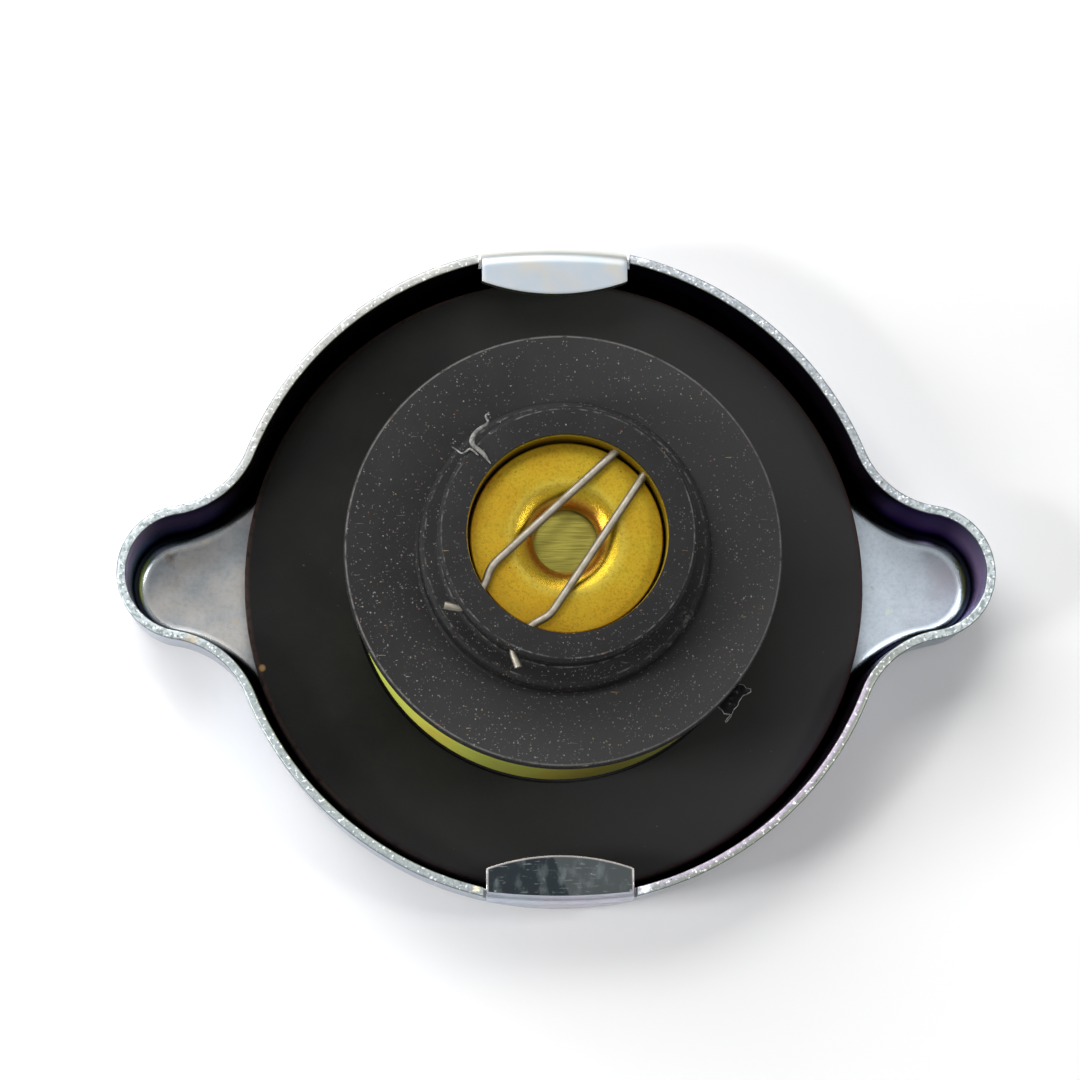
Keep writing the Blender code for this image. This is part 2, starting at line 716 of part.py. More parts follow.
def build_clip():
    """Hairpin wire: closed bight in the ring, two bowed legs and splayed tips."""
    corners = [
        (CLIP_TIP_U, CLIP_TIP_HALF),
        (CLIP_KNEE_U, CLIP_EXIT_HALF),
        (CLIP_EXIT_U, CLIP_EXIT_HALF),
        (CLIP_BEND_U, CLIP_BEND_HALF),
        (-CLIP_BIGHT_REACH, CLIP_BIGHT_HALF),
    ]
    corners += [(u, -v) for u, v in reversed(corners)]
    points = []
    for u, v in rounded_path(corners, CLIP_CORNER, BEND_SEGMENTS):
        x = u * math.cos(CLIP_ANGLE) - v * math.sin(CLIP_ANGLE)
        y = u * math.sin(CLIP_ANGLE) + v * math.cos(CLIP_ANGLE)
        points.append((x, y, clip_z))
    wire("spring_clip", points, CLIP_WIRE_RADIUS, spring_steel, valve_axis)


clear_scene()
parts = collection("radiator_cap")
cutters = collection("cutters")

zinc = material("zinc_plated_steel", (0.62, 0.65, 0.69), 1.0, 0.32)
chromate = material("yellow_chromate_steel", (0.72, 0.50, 0.10), 1.0, 0.36)
rubber = material("black_rubber", (0.028, 0.029, 0.031), 0.0, 0.62)
brass = material("brushed_brass", (0.52, 0.47, 0.20), 1.0, 0.40)
spring_steel = material("spring_steel", (0.46, 0.44, 0.41), 1.0, 0.38)

bell_axis = axis_empty("bell_axis", bell_z)
valve_axis = axis_empty("valve_axis", flange_top, bell_axis)
vacuum_axis = axis_empty("vacuum_axis", disc_z, valve_axis)

build_shell()
build_rivet()
build_washer()
build_friction_spring()
build_gasket()
build_bell()
build_main_spring()
build_valve_plate()
build_backing_plate()
ring_slots = clip_slots()
build_seal(ring_slots)
build_cup(ring_slots)
build_vacuum_seat()
build_vacuum_disc()
build_stem()
build_clip()
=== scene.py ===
"""Looks of the eared radiator cap, which lies on its outer face with its valve toward the camera.

Metres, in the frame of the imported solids: +X along the ears, +Z toward the valve.
"""

import math

import bmesh
import bpy
from mathutils import Matrix, Vector, noise


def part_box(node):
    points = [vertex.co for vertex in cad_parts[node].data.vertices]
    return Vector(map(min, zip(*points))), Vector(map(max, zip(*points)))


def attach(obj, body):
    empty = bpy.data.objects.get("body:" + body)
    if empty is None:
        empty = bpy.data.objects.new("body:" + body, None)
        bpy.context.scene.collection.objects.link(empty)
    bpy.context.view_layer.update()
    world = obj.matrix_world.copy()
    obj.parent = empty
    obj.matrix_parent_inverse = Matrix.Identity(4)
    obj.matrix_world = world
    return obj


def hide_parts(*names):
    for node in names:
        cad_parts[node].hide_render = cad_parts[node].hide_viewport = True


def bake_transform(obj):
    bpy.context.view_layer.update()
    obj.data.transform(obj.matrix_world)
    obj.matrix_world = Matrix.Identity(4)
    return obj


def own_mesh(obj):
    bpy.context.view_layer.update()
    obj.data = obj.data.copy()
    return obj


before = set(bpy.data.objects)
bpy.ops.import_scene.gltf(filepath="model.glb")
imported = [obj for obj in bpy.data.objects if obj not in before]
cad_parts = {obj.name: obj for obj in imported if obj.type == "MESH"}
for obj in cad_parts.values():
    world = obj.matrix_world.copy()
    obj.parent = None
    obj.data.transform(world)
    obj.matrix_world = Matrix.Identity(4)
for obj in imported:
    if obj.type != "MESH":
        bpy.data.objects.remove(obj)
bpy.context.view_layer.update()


# Camera. It looks down on the cap at 79 degrees, from a little to the left of the front,
# through a long lens. A pixel of the photograph is found again on any level of the cap.
VIEW_AZIMUTH = math.radians(-14.0)
VIEW_ELEVATION = math.radians(79.0)
VIEW_DISTANCE = 0.600
VIEW_LEVEL = 0.010
VIEW_SLIDE_RIGHT = -0.001713
VIEW_SLIDE_UP = 0.003133
LENS = 204.3
SENSOR = 36.0
PHOTO_SIDE = 1080

toward_camera = Vector((
    math.sin(VIEW_AZIMUTH) * math.cos(VIEW_ELEVATION),
    -math.cos(VIEW_AZIMUTH) * math.cos(VIEW_ELEVATION),
    math.sin(VIEW_ELEVATION),
))
view_up = toward_camera.cross(Vector((1, 0, 0))).normalized()
view_right = view_up.cross(toward_camera)
camera_place = (
    Vector((0, 0, VIEW_LEVEL))
    + toward_camera * VIEW_DISTANCE
    + view_right * VIEW_SLIDE_RIGHT
    + view_up * VIEW_SLIDE_UP
)
bpy.ops.object.camera_add(location=camera_place)
camera = bpy.context.active_object
camera.rotation_euler = Matrix((view_right, view_up, toward_camera)).transposed().to_euler()
camera.data.lens = LENS
camera.data.sensor_width = SENSOR
bpy.context.scene.camera = camera


def at_pixel(x, y, level):
    """The point of a level of the cap that the photograph shows at a pixel."""
    share = SENSOR / LENS / PHOTO_SIDE
    side = PHOTO_SIDE / 2
    ray = view_right * (x - side) * share + view_up * (side - y) * share - toward_camera
    return camera_place + ray * ((level - camera_place.z) / ray.z)


# Studio: a big lamp behind at the left, two small lamps at the left and the right and a low
# one at the left for the glints on the metal, a pale surround, and a pale floor that takes the
# cap's shadow.
def add_lamp(name, bearing, elevation, distance, size, power):
    bearing = math.radians(bearing)
    elevation = math.radians(elevation)
    direction = Vector((
        math.cos(bearing) * math.cos(elevation),
        math.sin(bearing) * math.cos(elevation),
        math.sin(elevation),
    ))
    bpy.ops.object.light_add(type="AREA", location=direction * distance)
    lamp = bpy.context.active_object
    lamp.name = name
    lamp.rotation_euler = direction.to_track_quat("Z", "Y").to_euler()
    lamp.data.shape = "RECTANGLE"
    lamp.data.size, lamp.data.size_y = size
    lamp.data.energy = power


add_lamp("main_lamp", 114.0, 45.0, 0.62, (0.50, 0.50), 3.9)
add_lamp("left_lamp", 196.0, 44.0, 0.50, (0.10, 0.08), 0.8)
add_lamp("right_lamp", 356.0, 58.0, 0.50, (0.07, 0.05), 0.40)
add_lamp("low_lamp", 192.0, 20.0, 0.50, (0.16, 0.10), 1.3)


def node(tree, kind, sockets=None, **options):
    """Add a node: options set its properties, sockets take values or links."""
    added = tree.nodes.new(kind)
    for option, value in options.items():
        setattr(added, option, value)
    for socket, value in (sockets or {}).items():
        if isinstance(value, bpy.types.NodeSocket):
            tree.links.new(value, added.inputs[socket])
        else:
            added.inputs[socket].default_value = value
    return added


def worked(tree, operation, first, second=None, third=None, **options):
    """A number worked out from one, two or three others."""
    terms = {place: term for place, term in enumerate((first, second, third)) if term is not None}
    return node(tree, "ShaderNodeMath", terms, operation=operation, **options).outputs[0]


def ranged(tree, number, start, end, low=0.0, high=1.0):
    """A number's place between a start and an end, kept between low and high."""
    return node(tree, "ShaderNodeMapRange", {
        "Value": number, "From Min": start, "From Max": end,
        "To Min": low, "To Max": high}).outputs[0]


SURROUND_FILL = 0.22
HORIZON_GREY = 0.30

studio = bpy.data.worlds.new("studio")
bpy.context.scene.world = studio
studio.use_nodes = True
sky = studio.node_tree
sky.nodes.clear()
rays = node(sky, "ShaderNodeLightPath")
direction = node(sky, "ShaderNodeTexCoord")
height = node(sky, "ShaderNodeSeparateXYZ", {0: direction.outputs["Generated"]})
lifted = ranged(sky, height.outputs["Z"], 0.0, 0.75, HORIZON_GREY)
fill = node(sky, "ShaderNodeBackground", {"Color": (1, 1, 1, 1), "Strength": SURROUND_FILL})
mirrored = node(sky, "ShaderNodeBackground", {"Color": (1, 1, 1, 1), "Strength": lifted})
white = node(sky, "ShaderNodeBackground", {"Color": (1, 1, 1, 1), "Strength": 1.0})
direct = worked(sky, "MAXIMUM", rays.outputs["Is Camera Ray"],
                rays.outputs["Is Transmission Ray"])
glossy = node(sky, "ShaderNodeMixShader", {
    0: rays.outputs["Is Glossy Ray"], 1: fill.outputs[0], 2: mirrored.outputs[0],
})
seen = node(sky, "ShaderNodeMixShader", {
    0: direct, 1: glossy.outputs[0], 2: white.outputs[0],
})
node(sky, "ShaderNodeOutputWorld", {"Surface": seen.outputs[0]})

FLOOR_SIDE = 4.0
FLOOR_WHITE = 0.80
FLOOR_LIFT = 0.06

bpy.ops.object.select_all(action="DESELECT")
bpy.ops.mesh.primitive_plane_add(size=FLOOR_SIDE)
floor = bpy.context.active_object
floor.name = "floor"
pale = bpy.data.materials.new("pale_floor")
pale.use_nodes = True
tree = pale.node_tree
tree.nodes.clear()
rays = node(tree, "ShaderNodeLightPath")
matte = node(tree, "ShaderNodeBsdfDiffuse", {
    "Color": (FLOOR_WHITE, FLOOR_WHITE, FLOOR_WHITE, 1),
})
lift = worked(tree, "MULTIPLY", rays.outputs["Is Camera Ray"], FLOOR_LIFT)
glow = node(tree, "ShaderNodeEmission", {"Strength": lift})
both = node(tree, "ShaderNodeAddShader", {0: matte.outputs[0], 1: glow.outputs[0]})
node(tree, "ShaderNodeOutputMaterial", {"Surface": both.outputs[0]})
floor.data.materials.append(pale)
bpy.context.scene.view_settings.view_transform = "Standard"


# Cap shell. One pressed sheet of steel, zinc plated and blued, with two ears, a round corner,
# a recess for the rivet, a sheared rim, and a tab folded in over the neck at front and back.
SHEET = 0.0009
GAP = 0.0003
RIM_RADIUS = 0.0328
RIM_EDGE = 0.00014
RIM_TOP = 0.010
WALL_DRAFT = 0.0006
FLOOR_CORNER = 0.0024
EAR_TIP_RADIUS = 0.0067
EAR_FILLET = 0.009
RECESS_RADIUS = 0.0078
RECESS_SLOPE = 0.0014
RIVET_HOLE = 0.0033
FRICTION_SHEET = 0.0004
QUARTER_STEPS = (30, 34, 80)
SHEAR_ROUGHNESS = 0.00003
SHEAR_FINE = 2600.0
SHEAR_COARSE = 900.0
SHEAR_MIDDLE = 0.6
SHADE_ANGLE = 40.0
MERGE = 0.000001

shell_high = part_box("cap_shell")[1]
friction_low, friction_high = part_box("friction_spring")
ear_centre = shell_high.x - EAR_TIP_RADIUS
recess_depth = friction_high.z - FRICTION_SHEET - GAP - SHEET


def arc(centre_r, centre_z, radius, start, end, steps):
    """Points (r, z) on an arc, with its angles in degrees."""
    points = []
    for step in range(steps + 1):
        angle = math.radians(start + (end - start) * step / steps)
        points.append((centre_r + radius * math.cos(angle), centre_z + radius * math.sin(angle)))
    return points


def shell_outline(inset):
    """The eared outline, moved inward by an inset: tip arc, hollow fillet and round side."""
    side_reach = RIM_RADIUS + EAR_FILLET
    tip_reach = EAR_TIP_RADIUS + EAR_FILLET
    fillet_x = (side_reach ** 2 - tip_reach ** 2 + ear_centre ** 2) / (2 * ear_centre)
    fillet_y = math.sqrt(side_reach ** 2 - fillet_x ** 2)
    tip_end = math.degrees(math.atan2(fillet_y, fillet_x - ear_centre))
    side_start = math.degrees(math.atan2(fillet_y, fillet_x))
    tip_steps, fillet_steps, side_steps = QUARTER_STEPS
    quarter = arc(ear_centre, 0.0, EAR_TIP_RADIUS - inset, 0.0, tip_end, tip_steps)
    quarter += arc(fillet_x, fillet_y, EAR_FILLET + inset, tip_end + 180.0,
                   side_start + 180.0, fillet_steps)[1:]
    quarter += arc(0.0, 0.0, RIM_RADIUS - inset, side_start, 90.0, side_steps)[1:]
    left = [(-x, y) for x, y in reversed(quarter[:-1])]
    upper = quarter + left
    lower = [(x, -y) for x, y in reversed(upper[1:-1])]
    return upper + lower


def eared(inset, level):
    return [(x, y, level) for x, y in shell_outline(inset)]


def round_ring(radius, level):
    """A circle whose points face those of the outline."""
    ring = []
    for x, y in shell_outline(0.0):
        reach = math.hypot(x, y)
        ring.append((x / reach * radius, y / reach * radius, level))
    return ring


def between(first, second, share):
    return [tuple(a + (b - a) * share for a, b in zip(*pair)) for pair in zip(first, second)]


def around(point):
    """Order of a point round the cap, counted from just past the right ear's tip."""
    return (math.atan2(point[1], point[0]) - MERGE) % (2 * math.pi)


corner_inset = WALL_DRAFT + FLOOR_CORNER
recess_edge = RECESS_RADIUS + RECESS_SLOPE
edge_level = RIM_TOP - RIM_EDGE
rings = [eared(inset, level) for inset, level in
         arc(RIM_EDGE, edge_level, RIM_EDGE, 90.0, 180.0, 3)]
for share in (0.25, 0.5, 0.75):
    rings.append(eared(WALL_DRAFT * share, edge_level + (FLOOR_CORNER - edge_level) * share))
rings += [eared(inset, level) for inset, level in
          arc(corner_inset, FLOOR_CORNER, FLOOR_CORNER, 180.0, 270.0, 10)]
rings.append(between(eared(corner_inset, 0.0), round_ring(recess_edge, 0.0), 0.5))
for step in range(9):
    sunk = recess_depth * (1 - math.cos(math.pi * step / 8)) / 2
    rings.append(round_ring(recess_edge - RECESS_SLOPE * step / 8, sunk))
rings.append(round_ring(RIVET_HOLE, recess_depth))
rings.append(round_ring(RIVET_HOLE, recess_depth + SHEET))
for step in range(9):
    sunk = recess_depth * (1 + math.cos(math.pi * step / 8)) / 2
    rings.append(round_ring(RECESS_RADIUS + SHEET + RECESS_SLOPE * step / 8, sunk + SHEET))
rings.append(between(round_ring(recess_edge + SHEET, SHEET), eared(corner_inset, SHEET), 0.5))
rings += [eared(inset, level) for inset, level in
          arc(corner_inset, FLOOR_CORNER, FLOOR_CORNER - SHEET, 270.0, 180.0, 8)]
for share in (0.75, 0.5, 0.25):
    rings.append(eared(SHEET + WALL_DRAFT * share,
                       edge_level + (FLOOR_CORNER - edge_level) * share))
rings += [eared(inset, level) for inset, level in
          arc(SHEET - RIM_EDGE, edge_level, RIM_EDGE, 0.0, 90.0, 3)]
for share in (0.3, 0.7):
    rings.append(eared(SHEET - RIM_EDGE - share * (SHEET - 2 * RIM_EDGE), RIM_TOP))
rings.append(rings[0])

bpy.ops.object.select_all(action="DESELECT")
bpy.ops.mesh.primitive_circle_add(vertices=len(rings[0]), radius=RIM_RADIUS)
shell = bpy.context.active_object
shell.name = shell.data.name = "pressed_shell"
bpy.ops.object.mode_set(mode="EDIT")
for index, ring in enumerate(rings):
    if index:
        bpy.ops.mesh.extrude_region_move()
    work = bmesh.from_edit_mesh(shell.data)
    picked = [vertex for vertex in work.verts if vertex.select]
    picked.sort(key=lambda vertex: around(vertex.co))
    for vertex, place in zip(picked, sorted(ring, key=around)):
        vertex.co = place
    bmesh.update_edit_mesh(shell.data)
bpy.ops.mesh.select_all(action="SELECT")
bpy.ops.mesh.remove_doubles(threshold=MERGE)
bpy.ops.mesh.normals_make_consistent(inside=False)
bpy.ops.object.mode_set(mode="OBJECT")
for vertex in shell.data.vertices:
    if vertex.co.z > edge_level - RIM_EDGE:
        torn = noise.noise(vertex.co * SHEAR_FINE) + 0.6 * noise.noise(vertex.co * SHEAR_COARSE)
        vertex.co.z += SHEAR_ROUGHNESS * (torn - SHEAR_MIDDLE)

TAB_WIDTH = 0.0144
TAB_REACH = 0.0048
TAB_TIP_RADIUS = 0.0211
TAB_FACE_INSET = 0.0001
TAB_FACE_RADIUS = 0.060
TAB_BEND = 0.0015
TAB_LEG = 0.0013
TAB_EDGE = 0.00016
TAB_EDGE_ANGLE = 50.0
TAB_CORNER = 0.0005
TAB_COLUMNS = 28
TAB_ROWS = 26
NOTCH_WIDTH = 0.0003
NOTCH_DEPTH = 0.0019

tab_face = RIM_RADIUS - TAB_FACE_INSET
leg_drop = TAB_BEND + TAB_LEG
leg_radius = RIM_RADIUS - WALL_DRAFT * leg_drop / (RIM_TOP - FLOOR_CORNER)


def select_only(piece):
    bpy.ops.object.select_all(action="DESELECT")
    piece.select_set(True)
    bpy.context.view_layer.objects.active = piece


def apply_modifier(piece, kind, **settings):
    """Add a modifier to a piece, set it and apply it."""
    select_only(piece)
    modifier = piece.modifiers.new(kind.lower(), kind)
    for setting, value in settings.items():
        setattr(modifier, setting, value)
    bpy.ops.object.modifier_apply(modifier=modifier.name)


def tab_point(across, along):
    """A point of the tab's outer face: up the leg, round the bend and in to the tip."""
    x = TAB_WIDTH * (across - 0.5)
    face = tab_face - TAB_FACE_RADIUS + math.sqrt(TAB_FACE_RADIUS ** 2 - x ** 2)
    wall = math.sqrt(leg_radius ** 2 - x ** 2)
    tip = tab_face - TAB_REACH + TAB_TIP_RADIUS - math.sqrt(TAB_TIP_RADIUS ** 2 - x ** 2)
    bend_length = TAB_BEND * math.pi / 2
    flat_length = TAB_REACH - TAB_BEND
    distance = along * (TAB_LEG + bend_length + flat_length)
    bend_level = RIM_TOP - TAB_BEND
    if distance < TAB_LEG:
        share = distance / TAB_LEG
        eased = share * share * (3 - 2 * share)
        return x, wall + (face - wall) * eased, bend_level - TAB_LEG + distance
    if distance < TAB_LEG + bend_length:
        angle = (distance - TAB_LEG) / TAB_BEND
        return (x, face - TAB_BEND * (1 - math.cos(angle)),
                bend_level + TAB_BEND * math.sin(angle))
    share = (distance - TAB_LEG - bend_length) / flat_length
    start = face - TAB_BEND
    return x, start + (tip - start) * share, RIM_TOP


def fold_tab(name, turn):
    """Bend a flat grid into the tab, round its tip corners, and give it its sheet."""
    bpy.ops.object.select_all(action="DESELECT")
    bpy.ops.mesh.primitive_grid_add(x_subdivisions=TAB_COLUMNS, y_subdivisions=TAB_ROWS, size=1)
    tab = bpy.context.active_object
    tab.name = name
    for vertex in tab.data.vertices:
        vertex.co = tab_point(vertex.co.x + 0.5, vertex.co.y + 0.5)
    bpy.ops.object.mode_set(mode="EDIT")
    bpy.ops.mesh.select_all(action="DESELECT")
    work = bmesh.from_edit_mesh(tab.data)
    for vertex in work.verts:
        at_side = abs(abs(vertex.co.x) - TAB_WIDTH / 2) < MERGE
        tip_y = tab_point(1.0, 1.0)[1]
        vertex.select = at_side and abs(vertex.co.y - tip_y) < MERGE
    bpy.ops.mesh.bevel(affect="VERTICES", offset=TAB_CORNER, segments=4)
    bpy.ops.mesh.select_all(action="SELECT")
    bpy.ops.mesh.normals_make_consistent(inside=False)
    work = bmesh.from_edit_mesh(tab.data)
    highest = max(work.faces, key=lambda face: face.calc_center_median().z)
    if highest.normal.z < 0:
        bpy.ops.mesh.flip_normals()
    bpy.ops.transform.rotate(value=turn, orient_axis="Z", center_override=(0, 0, 0))
    bpy.ops.object.mode_set(mode="OBJECT")
    apply_modifier(tab, "SOLIDIFY", thickness=SHEET, offset=-1.0)
    apply_modifier(tab, "BEVEL", width=TAB_EDGE, segments=3, limit_method="ANGLE",
                   angle_limit=math.radians(TAB_EDGE_ANGLE))
    return tab


notch_half = TAB_WIDTH / 2 + NOTCH_WIDTH
for side, turn in (("back", 0.0), ("front", math.pi)):
    bpy.ops.object.select_all(action="DESELECT")
    bpy.ops.mesh.primitive_cube_add(size=1)
    cutter = bpy.context.active_object
    middle = Vector((0, RIM_RADIUS * math.cos(turn), RIM_TOP))
    for vertex in cutter.data.vertices:
        vertex.co.x *= 2 * notch_half
        vertex.co.y *= 4 * TAB_REACH
        vertex.co.z *= 2 * NOTCH_DEPTH
        vertex.co += middle
    apply_modifier(shell, "BOOLEAN", object=cutter, operation="DIFFERENCE")
    bpy.data.objects.remove(cutter)
    tab = fold_tab(f"{side}_tab", turn)
    apply_modifier(shell, "BOOLEAN", object=tab, operation="UNION")
    bpy.data.objects.remove(tab)
select_only(shell)
bpy.ops.object.shade_smooth_by_angle(angle=math.radians(SHADE_ANGLE))


# The looks are laid out in millimetres, in each piece's own frame, which is the cap's
MM = 1000.0
FLAT = (1.0, 1.0, 0.0)


def new_material(name, roughness, metallic):
    """An empty material with a Principled shader, its tree, and a place in millimetres."""
    material = bpy.data.materials.new(name)
    material.use_nodes = True
    tree = material.node_tree
    shader = tree.nodes["Principled BSDF"]
    shader.inputs["Roughness"].default_value = roughness
    shader.inputs["Metallic"].default_value = metallic
    coordinates = node(tree, "ShaderNodeTexCoord")
    place = node(tree, "ShaderNodeVectorMath", {0: coordinates.outputs["Object"]},
                 operation="SCALE")
    place.inputs["Scale"].default_value = MM
    return material, tree, shader, place.outputs[0]


def ramp(tree, factor, stops):
    """A colour ramp with its stops given as (position, colour or grey)."""
    band = node(tree, "ShaderNodeValToRGB", {0: factor})
    elements = band.color_ramp.elements
    while len(elements) < len(stops):
        elements.new(0.5)
    for element, (position, colour) in zip(elements, stops):
        element.position = position
        grey = isinstance(colour, (int, float))
        element.color = (colour, colour, colour, 1) if grey else (*colour, 1)
    return band.outputs[0]


def group_tree(name, inputs, outputs):
    """A node group with named number, vector or colour sockets."""
    tree = bpy.data.node_groups.new(name, "ShaderNodeTree")
    for label, kind in inputs.items():
        tree.interface.new_socket(name=label, in_out="INPUT", socket_type=f"NodeSocket{kind}")
    for label, kind in outputs.items():
        tree.interface.new_socket(name=label, in_out="OUTPUT", socket_type=f"NodeSocket{kind}")
    entry = tree.nodes.new("NodeGroupInput")
    leave = tree.nodes.new("NodeGroupOutput")
    return tree, entry, leave


def use_group(tree, group, sockets):
    return node(tree, "ShaderNodeGroup", sockets, node_tree=group)


def mix(tree, factor, first, second, blend="MIX"):
    """Mix two colours by a factor. Each is a socket, or red, green and blue."""
    first, second = ((*colour, 1) if isinstance(colour, tuple) else colour
                     for colour in (first, second))
    return node(tree, "ShaderNodeMix", {0: factor, 6: first, 7: second},
                data_type="RGBA", blend_type=blend).outputs[2]


def flat_reach(tree, place):
    """Distance from the cap's axis."""
    flat_place = node(tree, "ShaderNodeVectorMath", {0: place, 1: FLAT}, operation="MULTIPLY")
    return node(tree, "ShaderNodeVectorMath", {0: flat_place.outputs[0]},
                operation="LENGTH").outputs[1]


def away_from(tree, place, spot):
    return node(tree, "ShaderNodeVectorMath", {0: place, 1: tuple(spot)},
                operation="DISTANCE").outputs["Value"]


def normal_part(tree, axis):
    """How far the surface faces along an axis of the cap."""
    shape = node(tree, "ShaderNodeNewGeometry")
    return node(tree, "ShaderNodeSeparateXYZ", {0: shape.outputs["Normal"]}).outputs[axis]


def scaled_noise(tree, place, scale, detail=2.0, stretch=None):
    """Noise on the place in millimetres, stretched along the axes if asked."""
    if stretch:
        place = node(tree, "ShaderNodeVectorMath", {0: place, 1: stretch},
                     operation="MULTIPLY").outputs[0]
    field = node(tree, "ShaderNodeTexNoise", {"Vector": place, "Scale": scale, "Detail": detail})
    return field.outputs["Fac"]


# Satin grain that plated and chromated metals share: a mottled tone and a fine height
satin_grain, entry, leave = group_tree(
    "satin_grain",
    {"Place": "Vector", "Blotch": "Float", "Grain": "Float"},
    {"Tone": "Float", "Height": "Float"},
)
blotch = scaled_noise(satin_grain, entry.outputs["Place"], 0.45, 3.0)
grain = scaled_noise(satin_grain, entry.outputs["Place"], 9.0, 3.0)
blotch_part = worked(satin_grain, "SUBTRACT", blotch, 0.5)
grain_part = worked(satin_grain, "SUBTRACT", grain, 0.5)
blotch_part = worked(satin_grain, "MULTIPLY", blotch_part, entry.outputs["Blotch"])
grain_tone = worked(satin_grain, "MULTIPLY", grain_part, entry.outputs["Grain"])
tone = worked(satin_grain, "ADD", blotch_part, grain_tone)
tone = worked(satin_grain, "ADD", tone, 1.0)
satin_grain.links.new(tone, leave.inputs["Tone"])
satin_grain.links.new(grain, leave.inputs["Height"])


def tinted(tree, colour, tone):
    """A colour multiplied by a tone that changes over the surface."""
    tone_colour = node(tree, "ShaderNodeCombineColor", {0: tone, 1: tone, 2: tone}).outputs[0]
    return mix(tree, 1.0, colour, tone_colour, "MULTIPLY")


def bumped(tree, shader, height, distance, strength=1.0):
    bump = node(tree, "ShaderNodeBump", {
        "Height": height, "Distance": distance, "Strength": strength})
    tree.links.new(bump.outputs[0], shader.inputs["Normal"])


def satin_finish(tree, shader, place, colour, blotch, grain, depth, strength):
    """Give a metal its colour and the satin grain over it."""
    satin = use_group(tree, satin_grain, {"Place": place, "Blotch": blotch, "Grain": grain})
    tree.links.new(tinted(tree, colour, satin.outputs["Tone"]), shader.inputs["Base Color"])
    bumped(tree, shader, satin.outputs["Height"], depth, strength)


# Specks of mixed size and tint: pale dust on rubber, glints and pits on metal. Cells is how
# many lie along a millimetre, Share how many of them hold a speck, and Size the largest speck.
dust_specks, entry, leave = group_tree(
    "dust_specks",
    {"Place": "Vector", "Cells": "Float", "Share": "Float", "Size": "Float"},
    {"Mask": "Float", "Colour": "Color"},
)
wander = node(dust_specks, "ShaderNodeTexNoise", {
    "Vector": entry.outputs["Place"], "Scale": 9.0, "Detail": 3.0})
wander = node(dust_specks, "ShaderNodeVectorMath", {
    0: wander.outputs["Color"], 1: (0.30, 0.30, 0.30)}, operation="MULTIPLY").outputs[0]
wandered = node(dust_specks, "ShaderNodeVectorMath", {
    0: entry.outputs["Place"], 1: wander}, operation="ADD").outputs[0]
cells = node(dust_specks, "ShaderNodeTexVoronoi", {
    "Vector": wandered, "Scale": entry.outputs["Cells"], "Randomness": 1.0})
chance = node(dust_specks, "ShaderNodeSeparateColor", {0: cells.outputs["Color"]})
present = worked(dust_specks, "LESS_THAN", chance.outputs[0], entry.outputs["Share"])
reach = worked(dust_specks, "MULTIPLY", chance.outputs[1], entry.outputs["Size"])
spot = worked(dust_specks, "LESS_THAN", cells.outputs["Distance"], reach)
mask = worked(dust_specks, "MULTIPLY", present, spot)
dust_specks.links.new(mask, leave.inputs["Mask"])
tint = ramp(dust_specks, chance.outputs[2], [
    (0.0, (0.06, 0.06, 0.065)), (0.50, (0.09, 0.09, 0.09)), (0.80, (0.15, 0.145, 0.135)),
    (0.90, (0.23, 0.22, 0.205)), (0.95, (0.19, 0.13, 0.06)), (1.0, (0.20, 0.07, 0.05)),
])
dust_specks.links.new(tint, leave.inputs["Colour"])


def speckled(tree, place, colour, cells, share, size, tint=None):
    """Scatter specks over a colour, all of one tint or each of its own."""
    specks = use_group(tree, dust_specks, {
        "Place": place, "Cells": cells, "Share": share, "Size": size})
    return mix(tree, specks.outputs["Mask"], colour, tint or specks.outputs["Colour"])


# Zinc inside the shell: grey satin floor with warm and cool clouds and small brown stains,
# and an indigo film on the drawn wall, with painted shade that darkens the film just above
# the floor corner, away from the ear tips, and where the wall faces the front
zinc_inside, tree, shader, place = new_material("blued_zinc_inside", 0.42, 1.0)
shader.inputs["Specular Tint"].default_value = (0.46, 0.42, 0.58, 1)
split = node(tree, "ShaderNodeSeparateXYZ", {0: place})
clouds = scaled_noise(tree, place, 0.30, 3.0)
floor_colour = ramp(tree, clouds, [
    (0.34, (0.21, 0.225, 0.235)), (0.50, (0.255, 0.26, 0.262)), (0.66, (0.29, 0.285, 0.272)),
])
right_side = ranged(tree, split.outputs["X"], -10.0, 20.0, high=0.85)
floor_colour = mix(tree, right_side, floor_colour, (0.355, 0.405, 0.455))
mottle = scaled_noise(tree, place, 2.4, 5.0)
mottle = ramp(tree, mottle, [(0.34, 0.90), (0.50, 0.98), (0.68, 1.0)])
floor_colour = mix(tree, 1.0, floor_colour, mottle, "MULTIPLY")


PATCH_RAGGED = 3.0
PATCH_REACH = 2.5


def patch(tree, place, spot, radius, edge):
    """A soft spot, 1 at its middle, whose outline is roughened with noise."""
    away = away_from(tree, place, spot)
    ragged = scaled_noise(tree, place, 1.2 / radius, 4.0)
    away = worked(tree, "MULTIPLY_ADD", ragged, PATCH_RAGGED * radius, away)
    return ranged(tree, away, radius * PATCH_REACH, radius * (PATCH_REACH - edge))


